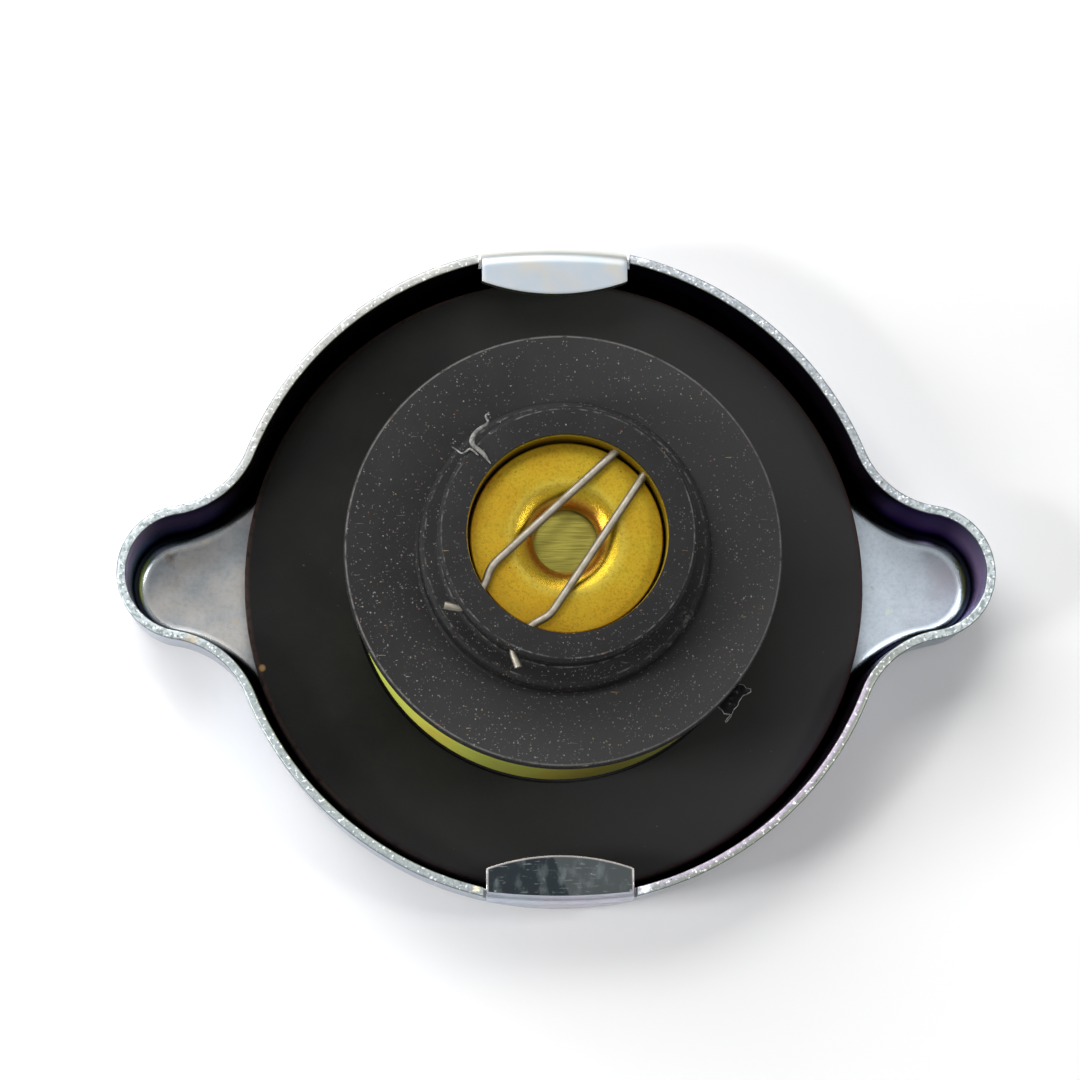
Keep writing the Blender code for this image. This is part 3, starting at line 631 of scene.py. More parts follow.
FLOOR_STAINS = (
    ((163, 549), 0.55, (0.42, 0.22, 0.12)), ((171, 558), 0.9, (0.12, 0.11, 0.095)),
    ((176, 584), 1.0, (0.23, 0.22, 0.21)), ((205, 532), 1.2, (0.33, 0.30, 0.26)),
    ((236, 622), 0.6, (0.29, 0.26, 0.22)), ((872, 588), 0.25, (0.16, 0.26, 0.16)),
    ((888, 612), 0.40, (0.42, 0.45, 0.36)), ((938, 580), 2.4, (0.32, 0.33, 0.36)),
)
for pixel, radius, stain in FLOOR_STAINS:
    spot = at_pixel(*pixel, SHEET) * MM
    floor_colour = mix(tree, patch(tree, place, spot, radius, 1.2), floor_colour, stain)
film_shift = scaled_noise(tree, place, 0.16, 1.0)
film_shift = ranged(tree, film_shift, 0.0, 1.0, -0.08, 0.08)
wall_height = ranged(tree, split.outputs["Z"], SHEET * MM, RIM_TOP * MM)
film_place = worked(tree, "ADD", wall_height, film_shift)
# The film's dark stops just above the floor corner are painted shade, which keeps the bell's
# reflection out of the corner
blue_film = ramp(tree, film_place, [
    (0.014, (0.42, 0.48, 0.52)), (0.035, (0.10, 0.13, 0.17)), (0.17, (0.05, 0.07, 0.18)),
    (0.30, (0.26, 0.52, 0.72)), (0.46, (0.46, 0.64, 0.94)), (0.66, (0.90, 0.78, 1.00)),
])
pink_film = ramp(tree, film_place, [
    (0.014, (0.22, 0.26, 0.30)), (0.040, (0.10, 0.12, 0.17)), (0.17, (0.07, 0.06, 0.15)),
    (0.30, (0.42, 0.24, 0.58)), (0.55, (1.00, 0.66, 1.00)), (0.90, (0.50, 0.44, 0.60)),
])
film = mix(tree, right_side, blue_film, pink_film)
from_middle = worked(tree, "ABSOLUTE", split.outputs["X"])
# Painted shade: the film is darker away from the ear tips
painted_side_shade = ranged(tree, from_middle, 34.0, 41.0, 0.40, 1.0)
film = tinted(tree, film, painted_side_shade)
# Painted shade: the film is darker where the wall faces the front
turned_front = normal_part(tree, "Y")
painted_front_shade = ranged(tree, turned_front, -0.9, -0.1, 0.10, 1.0)
film = tinted(tree, film, painted_front_shade)
on_wall = ramp(tree, wall_height, [(0.006, 0.0), (0.020, 1.0)])
smooth_wall = ramp(tree, wall_height, [(0.002, 0.42), (0.008, 0.20)])
tree.links.new(smooth_wall, shader.inputs["Roughness"])
colour = mix(tree, on_wall, floor_colour, film)
satin_finish(tree, shader, place, colour, 0.35, 0.30, 0.00002, 0.6)

# Zinc outside the shell, brighter, with fine rubbed scratches
zinc_outside, tree, shader, place = new_material("blued_zinc_outside", 0.30, 1.0)
clouds = scaled_noise(tree, place, 0.10, 3.0)
colour = ramp(tree, clouds, [
    (0.34, (0.46, 0.53, 0.65)), (0.50, (0.56, 0.60, 0.68)), (0.66, (0.58, 0.55, 0.64)),
])
scratches = scaled_noise(tree, place, 1.0, 6.0, (0.5, 14.0, 3.0))
scratch_tone = ramp(tree, scratches, [(0.35, 0.78), (0.65, 1.0)])
colour = mix(tree, 1.0, colour, scratch_tone, "MULTIPLY")
satin_finish(tree, shader, place, colour, 0.2, 0.2, 0.00001, 0.5)

# Sheared edge of the sheet: grey torn metal with small pits, painted glints, and painted shade
# on its rounded edges. It is beige at the upper left, greenish at the lower left, and lilac
# inside and olive outside at the lower right.
sheared, tree, shader, place = new_material("sheared_edge", 0.40, 1.0)
torn = scaled_noise(tree, place, 3.6, 4.0)
colour = ramp(tree, torn, [
    (0.34, (0.20, 0.22, 0.23)), (0.47, (0.28, 0.30, 0.32)), (0.62, (0.38, 0.41, 0.44)),
])
bearing = node(tree, "ShaderNodeTexGradient", {"Vector": place},
               gradient_type="RADIAL").outputs["Fac"]
upper_left = ramp(tree, bearing, [(0.72, 0.0), (0.80, 0.7), (0.93, 0.7), (0.99, 0.0)])
colour = mix(tree, upper_left, colour, (0.36, 0.35, 0.32))
lower_left = ramp(tree, bearing, [(0.01, 0.0), (0.06, 0.6), (0.19, 0.6), (0.26, 0.0)])
colour = mix(tree, lower_left, colour, (0.30, 0.34, 0.33))
lower_right = ramp(tree, bearing, [(0.27, 0.0), (0.32, 0.8), (0.44, 0.8), (0.50, 0.0)])
reach = flat_reach(tree, place)
across_edge = ranged(tree, reach, 32.1, 32.6)
two_lines = ramp(tree, across_edge, [(0.3, (0.46, 0.38, 0.50)), (0.7, (0.22, 0.23, 0.18))])
colour = mix(tree, lower_right, colour, two_lines)
split = node(tree, "ShaderNodeSeparateXYZ", {0: place})
ear_reach = worked(tree, "ABSOLUTE", split.outputs["X"])
on_ear = ranged(tree, ear_reach, 33.0, 37.0, high=0.5)
colour = mix(tree, on_ear, colour, (0.46, 0.52, 0.53))
# Painted glints: pale specks in the base colour
colour = speckled(tree, place, colour, 3.0, 0.17, 0.40, (0.92, 0.94, 0.96))
colour = speckled(tree, place, colour, 2.3, 0.16, 0.30, (0.07, 0.09, 0.08))
dark_share = ranged(tree, ear_reach, 31.0, 38.0, 0.35, 0.75)
torn_marks = ramp(tree, scaled_noise(tree, place, 2.0, 5.0), [(0.49, 0.0), (0.57, 1.0)])
torn_marks = worked(tree, "MULTIPLY", torn_marks, dark_share)
colour = mix(tree, torn_marks, colour, (0.15, 0.185, 0.18))
# Painted glints: pale streaks where the noise runs high
glint_marks = ramp(tree, scaled_noise(tree, place, 2.6, 4.0), [(0.60, 0.0), (0.64, 0.8)])
colour = mix(tree, glint_marks, colour, (0.82, 0.82, 0.88))
# Painted glints at the rim's ends beside the tabs, and a brown spot low on the left ear
RIM_GLINTS = (((477, 888), 0.5, (0.95, 0.85, 0.55)), ((644, 889), 1.0, (0.90, 0.95, 1.00)),
              ((645, 258), 0.8, (0.90, 0.95, 1.00)), ((190, 642), 1.0, (0.42, 0.36, 0.26)))
for pixel, radius, glint in RIM_GLINTS:
    spot = at_pixel(*pixel, RIM_TOP) * MM
    colour = mix(tree, patch(tree, place, spot, radius, 1.2), colour, glint)
# Painted shade: the rim's rounded edges, which face away from straight up, are painted dark
facing = normal_part(tree, "Z")
painted_edge_shade = ramp(tree, facing, [(0.70, 0.75), (0.97, 0.0)])
colour = mix(tree, painted_edge_shade, colour, (0.08, 0.11, 0.10))
tree.links.new(colour, shader.inputs["Base Color"])
bumped(tree, shader, torn, 0.00004, 0.5)

# Tab faces, one finish painted as lit and shaded copies: the back one clean, milky and painted
# light, the front one polished, painted dark as in shade, and smeared
back_tab_painted_lit, tree, shader, place = new_material("back_tab_face_painted_lit", 0.38, 1.0)
clouds = scaled_noise(tree, place, 0.35, 2.0)
colour = ramp(tree, clouds, [
    (0.36, (0.29, 0.33, 0.37)), (0.52, (0.31, 0.335, 0.36)), (0.66, (0.335, 0.335, 0.32)),
])
facing = normal_part(tree, "Z")
# Painted highlight on the back tab's bend
painted_bend_highlight = ramp(tree, facing, [(0.60, 1.0), (0.98, 0.0)])
colour = mix(tree, painted_bend_highlight, colour, (0.78, 0.78, 0.73))
satin_finish(tree, shader, place, colour, 0.1, 0.05, 0.00001, 0.3)

# The front tab is painted dark as shade, with one side of a slanting line painted lighter
front_tab_painted_dark, tree, shader, place = new_material("front_tab_face_painted_dark", 0.16, 1.0)
split = node(tree, "ShaderNodeSeparateXYZ", {0: place})
smear_field = scaled_noise(tree, place, 0.9, 5.0, (1.0, 0.5, 1.0))
smears = ramp(tree, smear_field, [(0.52, 0.0), (0.74, 0.8)])
# Painted light: the front tab is lighter on one side of this line
PAINTED_LIT_HALF_LINE = ((552, 853), (563, 880))
line_start, line_end = (at_pixel(*pixel, RIM_TOP) * MM for pixel in PAINTED_LIT_HALF_LINE)
lean = (line_end.x - line_start.x) / (line_end.y - line_start.y)
slant = worked(tree, "MULTIPLY", split.outputs["Y"], -lean)
slant = worked(tree, "ADD", split.outputs["X"], slant)
line_value = line_start.x - lean * line_start.y
half_lit = ranged(tree, slant, line_value - 0.1, line_value + 0.1)
colour = mix(tree, half_lit, (0.030, 0.038, 0.044), (0.080, 0.092, 0.094))
colour = mix(tree, smears, colour, (0.13, 0.15, 0.15))
colour = speckled(tree, place, colour, 1.6, 0.22, 0.20, (0.30, 0.33, 0.33))
scratches = scaled_noise(tree, place, 1.6, 4.0, (0.5, 3.2, 1.0))
scratches = ramp(tree, scratches, [(0.62, 0.0), (0.66, 0.6)])
colour = mix(tree, scratches, colour, (0.24, 0.27, 0.27))
# Painted highlight along the front tab's tip and side edges
EDGE_HIGHLIGHT_WIDTH = 0.10
tip_middle = (0.0, -(tab_face - TAB_REACH + TAB_TIP_RADIUS) * MM, RIM_TOP * MM)
off_tip = away_from(tree, place, tip_middle)
tip_highlight = (TAB_TIP_RADIUS - TAB_EDGE) * MM
tip_highlight = ranged(tree, off_tip, tip_highlight - EDGE_HIGHLIGHT_WIDTH, tip_highlight)
off_middle = worked(tree, "ABSOLUTE", split.outputs["X"])
side_highlight = (TAB_WIDTH / 2 - TAB_EDGE) * MM
side_highlight = ranged(tree, off_middle, side_highlight - EDGE_HIGHLIGHT_WIDTH, side_highlight)
painted_edge_highlight = worked(tree, "MAXIMUM", tip_highlight, side_highlight)
colour = mix(tree, painted_edge_highlight, colour, (0.42, 0.39, 0.38))
tree.links.new(colour, shader.inputs["Base Color"])
rough = ramp(tree, smear_field, [(0.4, 0.12), (0.7, 0.45)])
tree.links.new(rough, shader.inputs["Roughness"])

OUTSIDE, INSIDE, TORN, BACK_TAB_PAINTED_LIT, FRONT_TAB_PAINTED_DARK = range(5)
for finish in (zinc_outside, zinc_inside, sheared, back_tab_painted_lit, front_tab_painted_dark):
    shell.data.materials.append(finish)
for face in shell.data.polygons:
    middle = face.center
    on_tab = abs(middle.x) < TAB_WIDTH / 2 and abs(middle.y) > tab_face - TAB_REACH - GAP
    inward = middle.x * face.normal.x + middle.y * face.normal.y < 0
    face.material_index = OUTSIDE
    if on_tab and middle.z > RIM_TOP - TAB_BEND and face.normal.z > 0.9:
        face.material_index = BACK_TAB_PAINTED_LIT if middle.y > 0 else FRONT_TAB_PAINTED_DARK
    elif on_tab and middle.z > RIM_TOP - TAB_BEND and face.normal.z > 0.0 and not inward:
        face.material_index = BACK_TAB_PAINTED_LIT if middle.y > 0 else OUTSIDE
    elif on_tab and middle.z > RIM_TOP - SHEET and inward:
        face.material_index = TORN
    elif (middle.z > RIM_TOP - NOTCH_DEPTH - GAP and abs(middle.x) < notch_half + GAP
          and (abs(face.normal.x) > 0.8 or face.normal.z > 0.8)):
        face.material_index = TORN
    elif middle.z > edge_level and not on_tab:
        face.material_index = TORN
    elif middle.z > RIM_EDGE and (inward or face.normal.z > 0.5):
        face.material_index = INSIDE
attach(shell, "shell")
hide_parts("cap_shell")


# Centre rivet and its washer. A zinc-plated tubular rivet, with a low round head in the
# recess, holds the bell to the shell. Its closed end is spread over a flat washer.
TURN_STEPS = 160
SMALL_TURN_STEPS = 96
RIVET_HEAD = ((0.0012, 0.0), (0.0030, 0.0001), (0.0044, 0.0004), (0.0052, 0.0008))
RIVET_HEAD_EDGE = 0.0002
RIVET_SHANK = 0.003
RIVET_CLOSED_LEVEL = 0.0063
RIVET_CLOSED_END = (
    (0.0047, 0.0010), (0.0038, 0.0003), (0.0026, 0.0), (0.0017, 0.0004), (0.0014, 0.0012),
)
PIN_EDGE = 0.00008
WASHER_HOLE = 0.0033
WASHER_EDGE = 0.0001


def turn(name, section, steps=TURN_STEPS, filled=False, edge=0.0, edge_angle=SHADE_ANGLE):
    """Turn a section of (radius, height) points: a circle, extruded and scaled ring by ring.

    A filled section starts and ends in a flat face. Any other section is closed on itself.
    An edge rounds the corners of the section by that much.
    """
    bpy.ops.object.select_all(action="DESELECT")
    radius, level = section[0]
    fill = "NGON" if filled else "NOTHING"
    bpy.ops.mesh.primitive_circle_add(vertices=steps, radius=radius, fill_type=fill)
    piece = bpy.context.active_object
    piece.name = piece.data.name = name
    bpy.ops.object.mode_set(mode="EDIT")
    bpy.ops.transform.translate(value=(0, 0, level))
    stations = section[1:] if filled else section[1:] + section[:1]
    for next_radius, next_level in stations:
        rise = (0, 0, next_level - level)
        bpy.ops.mesh.extrude_region_move(TRANSFORM_OT_translate={"value": rise})
        share = next_radius / radius
        bpy.ops.transform.resize(value=(share, share, 1), center_override=(0, 0, next_level))
        radius, level = next_radius, next_level
    bpy.ops.mesh.select_all(action="SELECT")
    bpy.ops.mesh.remove_doubles(threshold=MERGE)
    bpy.ops.mesh.normals_make_consistent(inside=False)
    bpy.ops.object.mode_set(mode="OBJECT")
    if edge:
        apply_modifier(piece, "BEVEL", width=edge, segments=3, limit_method="ANGLE",
                       angle_limit=math.radians(edge_angle))
    select_only(piece)
    bpy.ops.object.shade_smooth_by_angle(angle=math.radians(edge_angle))
    return piece


def dress(piece, finish, body, node_name):
    """Give a piece its finish, and let it stand for a solid and ride on its body."""
    piece.data.materials.append(finish)
    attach(piece, body)
    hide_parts(node_name)


rivet_low, rivet_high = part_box("centre_rivet")
washer_low, washer_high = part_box("rivet_washer")
head_base = recess_depth - GAP
section = [(radius, rivet_low.z + rise) for radius, rise in RIVET_HEAD]
section += [
    (rivet_high.x, head_base - RIVET_HEAD_EDGE), (rivet_high.x, head_base),
    (RIVET_SHANK, head_base), (RIVET_SHANK, RIVET_CLOSED_LEVEL),
    (RIVET_CLOSED_END[0][0], RIVET_CLOSED_LEVEL),
]
section += [(radius, rivet_high.z - drop) for radius, drop in RIVET_CLOSED_END]
rivet = turn("tubular_rivet", section, SMALL_TURN_STEPS, filled=True, edge=PIN_EDGE)
dress(rivet, zinc_outside, "shell", "centre_rivet")

washer = turn("rivet_washer_plate", [
    (WASHER_HOLE, washer_high.z), (washer_high.x, washer_high.z),
    (washer_high.x, washer_low.z), (WASHER_HOLE, washer_low.z),
], SMALL_TURN_STEPS, edge=WASHER_EDGE)
dress(washer, zinc_outside, "shell", "rivet_washer")


# Friction spring. A thin dished plate of spring steel, pinched between the shell and the
# bell, so that the ears turn while the bell and its gasket stay on the neck.
FRICTION_HOLE = 0.0033
FRICTION_FOOT = 0.0104
FRICTION_BOSS = 0.0090

wire_steel, tree, shader, place = new_material("dull_spring_steel", 0.50, 1.0)
drawn = scaled_noise(tree, place, 1.0, 2.0)
colour = ramp(tree, drawn, [
    (0.34, (0.20, 0.180, 0.140)), (0.48, (0.235, 0.215, 0.175)), (0.64, (0.26, 0.24, 0.205)),
])
tree.links.new(colour, shader.inputs["Base Color"])
rough = ramp(tree, drawn, [(0.35, 0.56), (0.65, 0.48)])
tree.links.new(rough, shader.inputs["Roughness"])

friction = turn("friction_plate", [
    (friction_high.x, friction_low.z), (FRICTION_FOOT, friction_low.z),
    (FRICTION_BOSS, friction_high.z - FRICTION_SHEET),
    (FRICTION_HOLE, friction_high.z - FRICTION_SHEET), (FRICTION_HOLE, friction_high.z),
    (FRICTION_BOSS + FRICTION_SHEET / 2, friction_high.z),
    (FRICTION_FOOT + FRICTION_SHEET / 2, friction_low.z + FRICTION_SHEET),
    (friction_high.x, friction_low.z + FRICTION_SHEET),
])
dress(friction, wire_steel, "bell", "friction_spring")


# Upper gasket. A flat ring cut from black rubber sheet, which lies under the neck's upper
# rim. The bell presses into it, and its cut edge is browner than its face.
GASKET_HOLE = 0.0111
GASKET_ROUND = 0.0006
GASKET_SQUEEZE = 0.0002

gasket_low, gasket_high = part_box("upper_gasket")
bell_low, bell_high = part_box("spring_bell")

# Ring along a turned edge, broken up by noise
broken_edge_ring, entry, leave = group_tree(
    "broken_edge_ring",
    {"Place": "Vector", "Radius": "Float", "Width": "Float", "Cover": "Float"},
    {"Mask": "Float"},
)
reach = flat_reach(broken_edge_ring, entry.outputs["Place"])
off_line = worked(broken_edge_ring, "SUBTRACT", reach, entry.outputs["Radius"])
off_line = worked(broken_edge_ring, "ABSOLUTE", off_line)
near = worked(broken_edge_ring, "DIVIDE", off_line, entry.outputs["Width"])
near = worked(broken_edge_ring, "SUBTRACT", 1.0, near, use_clamp=True)
broken = scaled_noise(broken_edge_ring, entry.outputs["Place"], 1.3, 6.0)
broken = worked(broken_edge_ring, "ADD", broken, entry.outputs["Cover"])
broken = ranged(broken_edge_ring, broken, 0.92, 1.15)
mask = worked(broken_edge_ring, "MULTIPLY", near, broken)
broken_edge_ring.links.new(mask, leave.inputs["Mask"])

gasket_rubber, tree, shader, place = new_material("gasket_rubber", 0.60, 0.0)
shader.inputs["Specular IOR Level"].default_value = 0.10
cloud = scaled_noise(tree, place, 0.20, 3.0)
colour = ramp(tree, cloud, [(0.35, (0.005, 0.0055, 0.0055)), (0.65, (0.008, 0.008, 0.008))])


def painted_light_share(tree, place, rightward, downward, outward, start, end):
    """Painted light: how far a rubber face is lightened, growing toward the right and both ends of
    Y.
    """
    split = node(tree, "ShaderNodeSeparateXYZ", {0: place})
    total = worked(tree, "MULTIPLY", split.outputs["X"], rightward)
    total = worked(tree, "MULTIPLY_ADD", split.outputs["Y"], -downward, total)
    height = worked(tree, "ABSOLUTE", split.outputs["Y"])
    total = worked(tree, "MULTIPLY_ADD", height, outward, total)
    return ranged(tree, total, start, end)


# Painted light: the gasket is painted lighter grey toward the right and both ends of Y
painted_light_mask = painted_light_share(tree, place, 0.40, 0.10, 0.48, 2.0, 22.0)
colour = mix(tree, painted_light_mask, colour, (0.038, 0.038, 0.039))
brown_edge = use_group(tree, broken_edge_ring, {
    "Place": place, "Radius": gasket_high.x * MM, "Width": 0.50, "Cover": 0.66})
colour = mix(tree, brown_edge.outputs["Mask"], colour, (0.07, 0.042, 0.034))
for layer in ((1.5, 0.05, 0.12), (0.6, 0.07, 0.07)):
    colour = speckled(tree, place, colour, *layer)
CRUMB_PIXEL = (262, 668)
CRUMB_SIZE = 0.42
crumb = at_pixel(*CRUMB_PIXEL, gasket_high.z) * MM
off_crumb = away_from(tree, place, crumb)
on_crumb = ranged(tree, off_crumb, CRUMB_SIZE, CRUMB_SIZE / 2)
colour = mix(tree, on_crumb, colour, (0.26, 0.15, 0.06))
tree.links.new(colour, shader.inputs["Base Color"])
bumped(tree, shader, scaled_noise(tree, place, 4.0, 3.0), 0.00004, 0.4)

pressed_top = gasket_high.z - GASKET_SQUEEZE
gasket = turn("neck_gasket", [
    (GASKET_HOLE, pressed_top), (bell_high.x, pressed_top),
    (bell_high.x + GASKET_SQUEEZE, gasket_high.z),
] + arc(gasket_high.x - GASKET_ROUND, gasket_high.z - GASKET_ROUND, GASKET_ROUND, 90.0, 0.0, 6) + [
    (gasket_high.x, gasket_low.z), (GASKET_HOLE, gasket_low.z),
])
dress(gasket, gasket_rubber, "bell", "upper_gasket")


# Spring bell. A deep-drawn cup of yellow-chromated steel with its mouth turned inward,
# riveted through its base to the shell. It holds the main spring and stops the valve.
BELL_SHEET = 0.0008
BELL_LIP = 0.0028
BELL_LIP_BEND = 0.0013
BELL_BASE_BEND = 0.0012

bell_chromate, tree, shader, place = new_material("green_gold_chromate", 0.52, 0.25)
clouds = scaled_noise(tree, place, 0.18, 2.0, (1.0, 1.0, 0.4))
colour = ramp(tree, clouds, [
    (0.36, (0.84, 0.92, 0.15)), (0.52, (0.92, 0.92, 0.14)), (0.66, (0.92, 0.78, 0.11)),
])
# Painted light: the bell is painted paler toward the lower left, where its wall catches the light
bearing = node(tree, "ShaderNodeTexGradient", {"Vector": place},
               gradient_type="RADIAL").outputs["Fac"]
painted_lit_side = ramp(tree, bearing, [
    (0.0, 0.55), (0.07, 1.0), (0.13, 0.95), (0.20, 0.50), (0.60, 0.50), (1.0, 0.55),
])
colour = tinted(tree, colour, painted_lit_side)
satin_finish(tree, shader, place, colour, 0.2, 0.25, 0.00002, 0.4)

bell_lip = bell_high.x - BELL_LIP
bell_foot = bell_low.z + BELL_BASE_BEND
bell_inner_foot = BELL_BASE_BEND - BELL_SHEET
section = [(bell_lip, bell_high.z)]
section += arc(bell_high.x - BELL_LIP_BEND, bell_high.z - BELL_LIP_BEND, BELL_LIP_BEND,
               90.0, 0.0, 8)
section += arc(bell_high.x - BELL_BASE_BEND, bell_foot, BELL_BASE_BEND, 0.0, -90.0, 8)
section += [(RIVET_HOLE, bell_low.z), (RIVET_HOLE, bell_low.z + BELL_SHEET)]
section += arc(bell_high.x - BELL_BASE_BEND, bell_foot, bell_inner_foot, -90.0, 0.0, 5)
section += arc(bell_high.x - BELL_LIP_BEND, bell_high.z - BELL_LIP_BEND,
               BELL_LIP_BEND - BELL_SHEET, 0.0, 90.0, 5)
section += [(bell_lip, bell_high.z - BELL_SHEET)]
bell = turn("drawn_bell", section)
dress(bell, bell_chromate, "bell", "spring_bell")


# Main spring. Round steel wire coiled with closed ends, between the bell's base and the
# valve plate. It shortens as the pressure valve slides into the bell.
SPRING_WIRE = 0.0009
SPRING_TURNS = 4.0
SPRING_CLOSED_TURNS = 0.8
SPRING_TURN_POINTS = 40
SPRING_SIDES = 4
WIRE_SHADE_ANGLE = 50.0

plate_low, plate_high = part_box("valve_plate")
spring_low, spring_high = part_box("main_spring")


def wire(name, points, radius, sides):
    """A round wire along its points, made a closed mesh with flat-cut ends.

    A point may hold a fourth number: the share of the radius that the wire has there.
    """
    line = bpy.data.curves.new(name, "CURVE")
    line.dimensions = "3D"
    line.bevel_depth = radius
    line.bevel_resolution = sides
    line.use_fill_caps = True
    spline = line.splines.new("POLY")
    spline.points.add(len(points) - 1)
    for spot, point in zip(spline.points, points):
        spot.co = (*point[:3], 1.0)
        if len(point) > 3:
            spot.radius = point[3]
    piece = bpy.data.objects.new(name, line)
    bpy.context.scene.collection.objects.link(piece)
    select_only(piece)
    bpy.ops.object.convert(target="MESH")
    bpy.ops.object.mode_set(mode="EDIT")
    bpy.ops.mesh.select_all(action="SELECT")
    bpy.ops.mesh.remove_doubles(threshold=MERGE)
    bpy.ops.mesh.normals_make_consistent(inside=False)
    bpy.ops.object.mode_set(mode="OBJECT")
    bpy.ops.object.shade_smooth_by_angle(angle=math.radians(WIRE_SHADE_ANGLE))
    return bpy.context.active_object


coil_radius = spring_high.y - SPRING_WIRE
coil_low = spring_low.z + SPRING_WIRE
coil_high = spring_high.z - SPRING_WIRE
lay = 2 * SPRING_WIRE + GAP / 2
closed_rise = SPRING_CLOSED_TURNS * lay
open_turns = SPRING_TURNS - 2 * SPRING_CLOSED_TURNS
coil = []
for step in range(round(SPRING_TURNS * SPRING_TURN_POINTS) + 1):
    turns = step / SPRING_TURN_POINTS
    if turns < SPRING_CLOSED_TURNS:
        level = coil_low + turns * lay
    elif turns > SPRING_TURNS - SPRING_CLOSED_TURNS:
        level = coil_high - (SPRING_TURNS - turns) * lay
    else:
        share = (turns - SPRING_CLOSED_TURNS) / open_turns
        level = coil_low + closed_rise + (coil_high - coil_low - 2 * closed_rise) * share
    angle = 2 * math.pi * turns
    coil.append((coil_radius * math.cos(angle), coil_radius * math.sin(angle), level))
spring = wire("coiled_main_spring", coil, SPRING_WIRE, SPRING_SIDES)
dress(spring, wire_steel, "bell", "main_spring")
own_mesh(spring)


# Valve plate and backing plate. Chromated pressings: a hat whose flange the bell's mouth
# stops, and a flat washer that carries the rubber disc.
PLATE_SHEET = 0.0008
PLATE_BEND = 0.0014
PLATE_HUB_RADIUS = 0.015
PLATE_EDGE = 0.00015
WAIST_HOLE = 0.0082

hub_turn = PLATE_HUB_RADIUS - PLATE_BEND
flange_turn = PLATE_HUB_RADIUS + PLATE_BEND
flange_level = plate_low.z + PLATE_SHEET
section = [(WAIST_HOLE, plate_high.z)]
section += arc(hub_turn, plate_high.z - PLATE_BEND, PLATE_BEND, 90.0, 0.0, 6)
section += arc(flange_turn, flange_level + PLATE_BEND, PLATE_BEND, 180.0, 270.0, 6)
section += [(plate_high.x, flange_level), (plate_high.x, plate_low.z)]
section += arc(flange_turn, flange_level + PLATE_BEND, PLATE_BEND + PLATE_SHEET,
               270.0, 180.0, 6)
section += arc(hub_turn, plate_high.z - PLATE_BEND, PLATE_BEND - PLATE_SHEET, 0.0, 90.0, 4)
section += [(WAIST_HOLE, plate_high.z - PLATE_SHEET)]
valve_plate = turn("hat_plate", section)
dress(valve_plate, bell_chromate, "pressure_valve", "valve_plate")

backing_low, backing_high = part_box("backing_plate")
backing = turn("flat_backing_plate", [
    (WAIST_HOLE, backing_high.z), (backing_high.x, backing_high.z),
    (backing_high.x, backing_low.z), (WAIST_HOLE, backing_low.z),
], edge=PLATE_EDGE)
dress(backing, bell_chromate, "pressure_valve", "backing_plate")


# Valve seal. One moulding of black rubber: a wide disc, a shoulder, a neck, and a lip that
# folds in over the cup's mouth. Mould flash and pale dust are left on it.
SEAL_THICKNESS = 0.0019
SEAL_EDGE = 0.00028
SHOULDER_RADIUS = 0.014
SHOULDER_HEIGHT = 0.003
SHOULDER_ROUND = 0.0006
NECK_RADIUS = 0.0119
NECK_FILLET = 0.0005
LIP_RADIUS = 0.01235
LIP_BORE = 0.0096
LIP_HEIGHT = 0.0009
LIP_ROOF = 0.0004
LIP_ROUND = 0.0004
SEAL_STEPS = 240
DISC_PAINTED_LIGHT_FROM = 14.6
CUP_SHELF = 0.0254
CUP_SHEET = 0.0005

seal_low, seal_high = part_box("valve_seal")
cup_low, cup_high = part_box("seal_cup")
face_level = seal_low.z + SEAL_THICKNESS
shoulder_level = face_level + SHOULDER_HEIGHT
shelf_under = CUP_SHELF - CUP_SHEET - GAP

seal_rubber, tree, shader, place = new_material("dusty_seal_rubber", 0.64, 0.0)
shader.inputs["Specular IOR Level"].default_value = 0.20
split = node(tree, "ShaderNodeSeparateXYZ", {0: place})
cloud = scaled_noise(tree, place, 0.25, 3.0)
colour = ramp(tree, cloud, [(0.35, (0.006, 0.0058, 0.0062)), (0.65, (0.010, 0.0098, 0.010))])
reach = flat_reach(tree, place)
on_disc = ranged(tree, reach, SHOULDER_RADIUS * MM, DISC_PAINTED_LIGHT_FROM)
# Painted light: the seal's disc is painted lighter toward the lower right
painted_light_mask = painted_light_share(tree, place, 0.50, 0.30, 0.45, -1.0, 14.0)
painted_light_mask = worked(tree, "MULTIPLY", painted_light_mask, on_disc)
colour = mix(tree, painted_light_mask, colour, (0.030, 0.0298, 0.0305))
# Painted shade: the rubber's walls, which face sideways, are painted near black
facing = normal_part(tree, "Z")
on_wall = ramp(tree, facing, [(0.3, 1.0), (0.8, 0.0)])
colour = mix(tree, on_wall, colour, (0.003, 0.003, 0.003))
# Radius, width and cover of the pale lines along the lip, the shoulder and the disc's edge
PALE_EDGE_LINES = ((12.0, 0.10, 0.50), (13.45, 0.12, 0.44), (20.92, 0.12, 0.64))
for radius, width, cover in PALE_EDGE_LINES:
    line = use_group(tree, broken_edge_ring, {
        "Place": place, "Radius": radius, "Width": width, "Cover": cover})
    colour = mix(tree, line.outputs["Mask"], colour, (0.12, 0.115, 0.11))
lower_half = ranged(tree, split.outputs["Y"], 14.0, -18.0, 0.18, 0.40)
for cells, size in ((5.0, 0.40), (3.2, 0.25), (1.1, 0.10)):
    colour = speckled(tree, place, colour, cells, lower_half, size)
for turned in (0.6, -0.9, 1.9):
    along_lint = node(tree, "ShaderNodeMapping", {
        "Vector": place, "Rotation": (0.0, 0.0, turned), "Scale": (0.30, 2.2, 1.0)})
    colour = speckled(tree, along_lint.outputs[0], colour, 1.4, 0.07, 0.16)
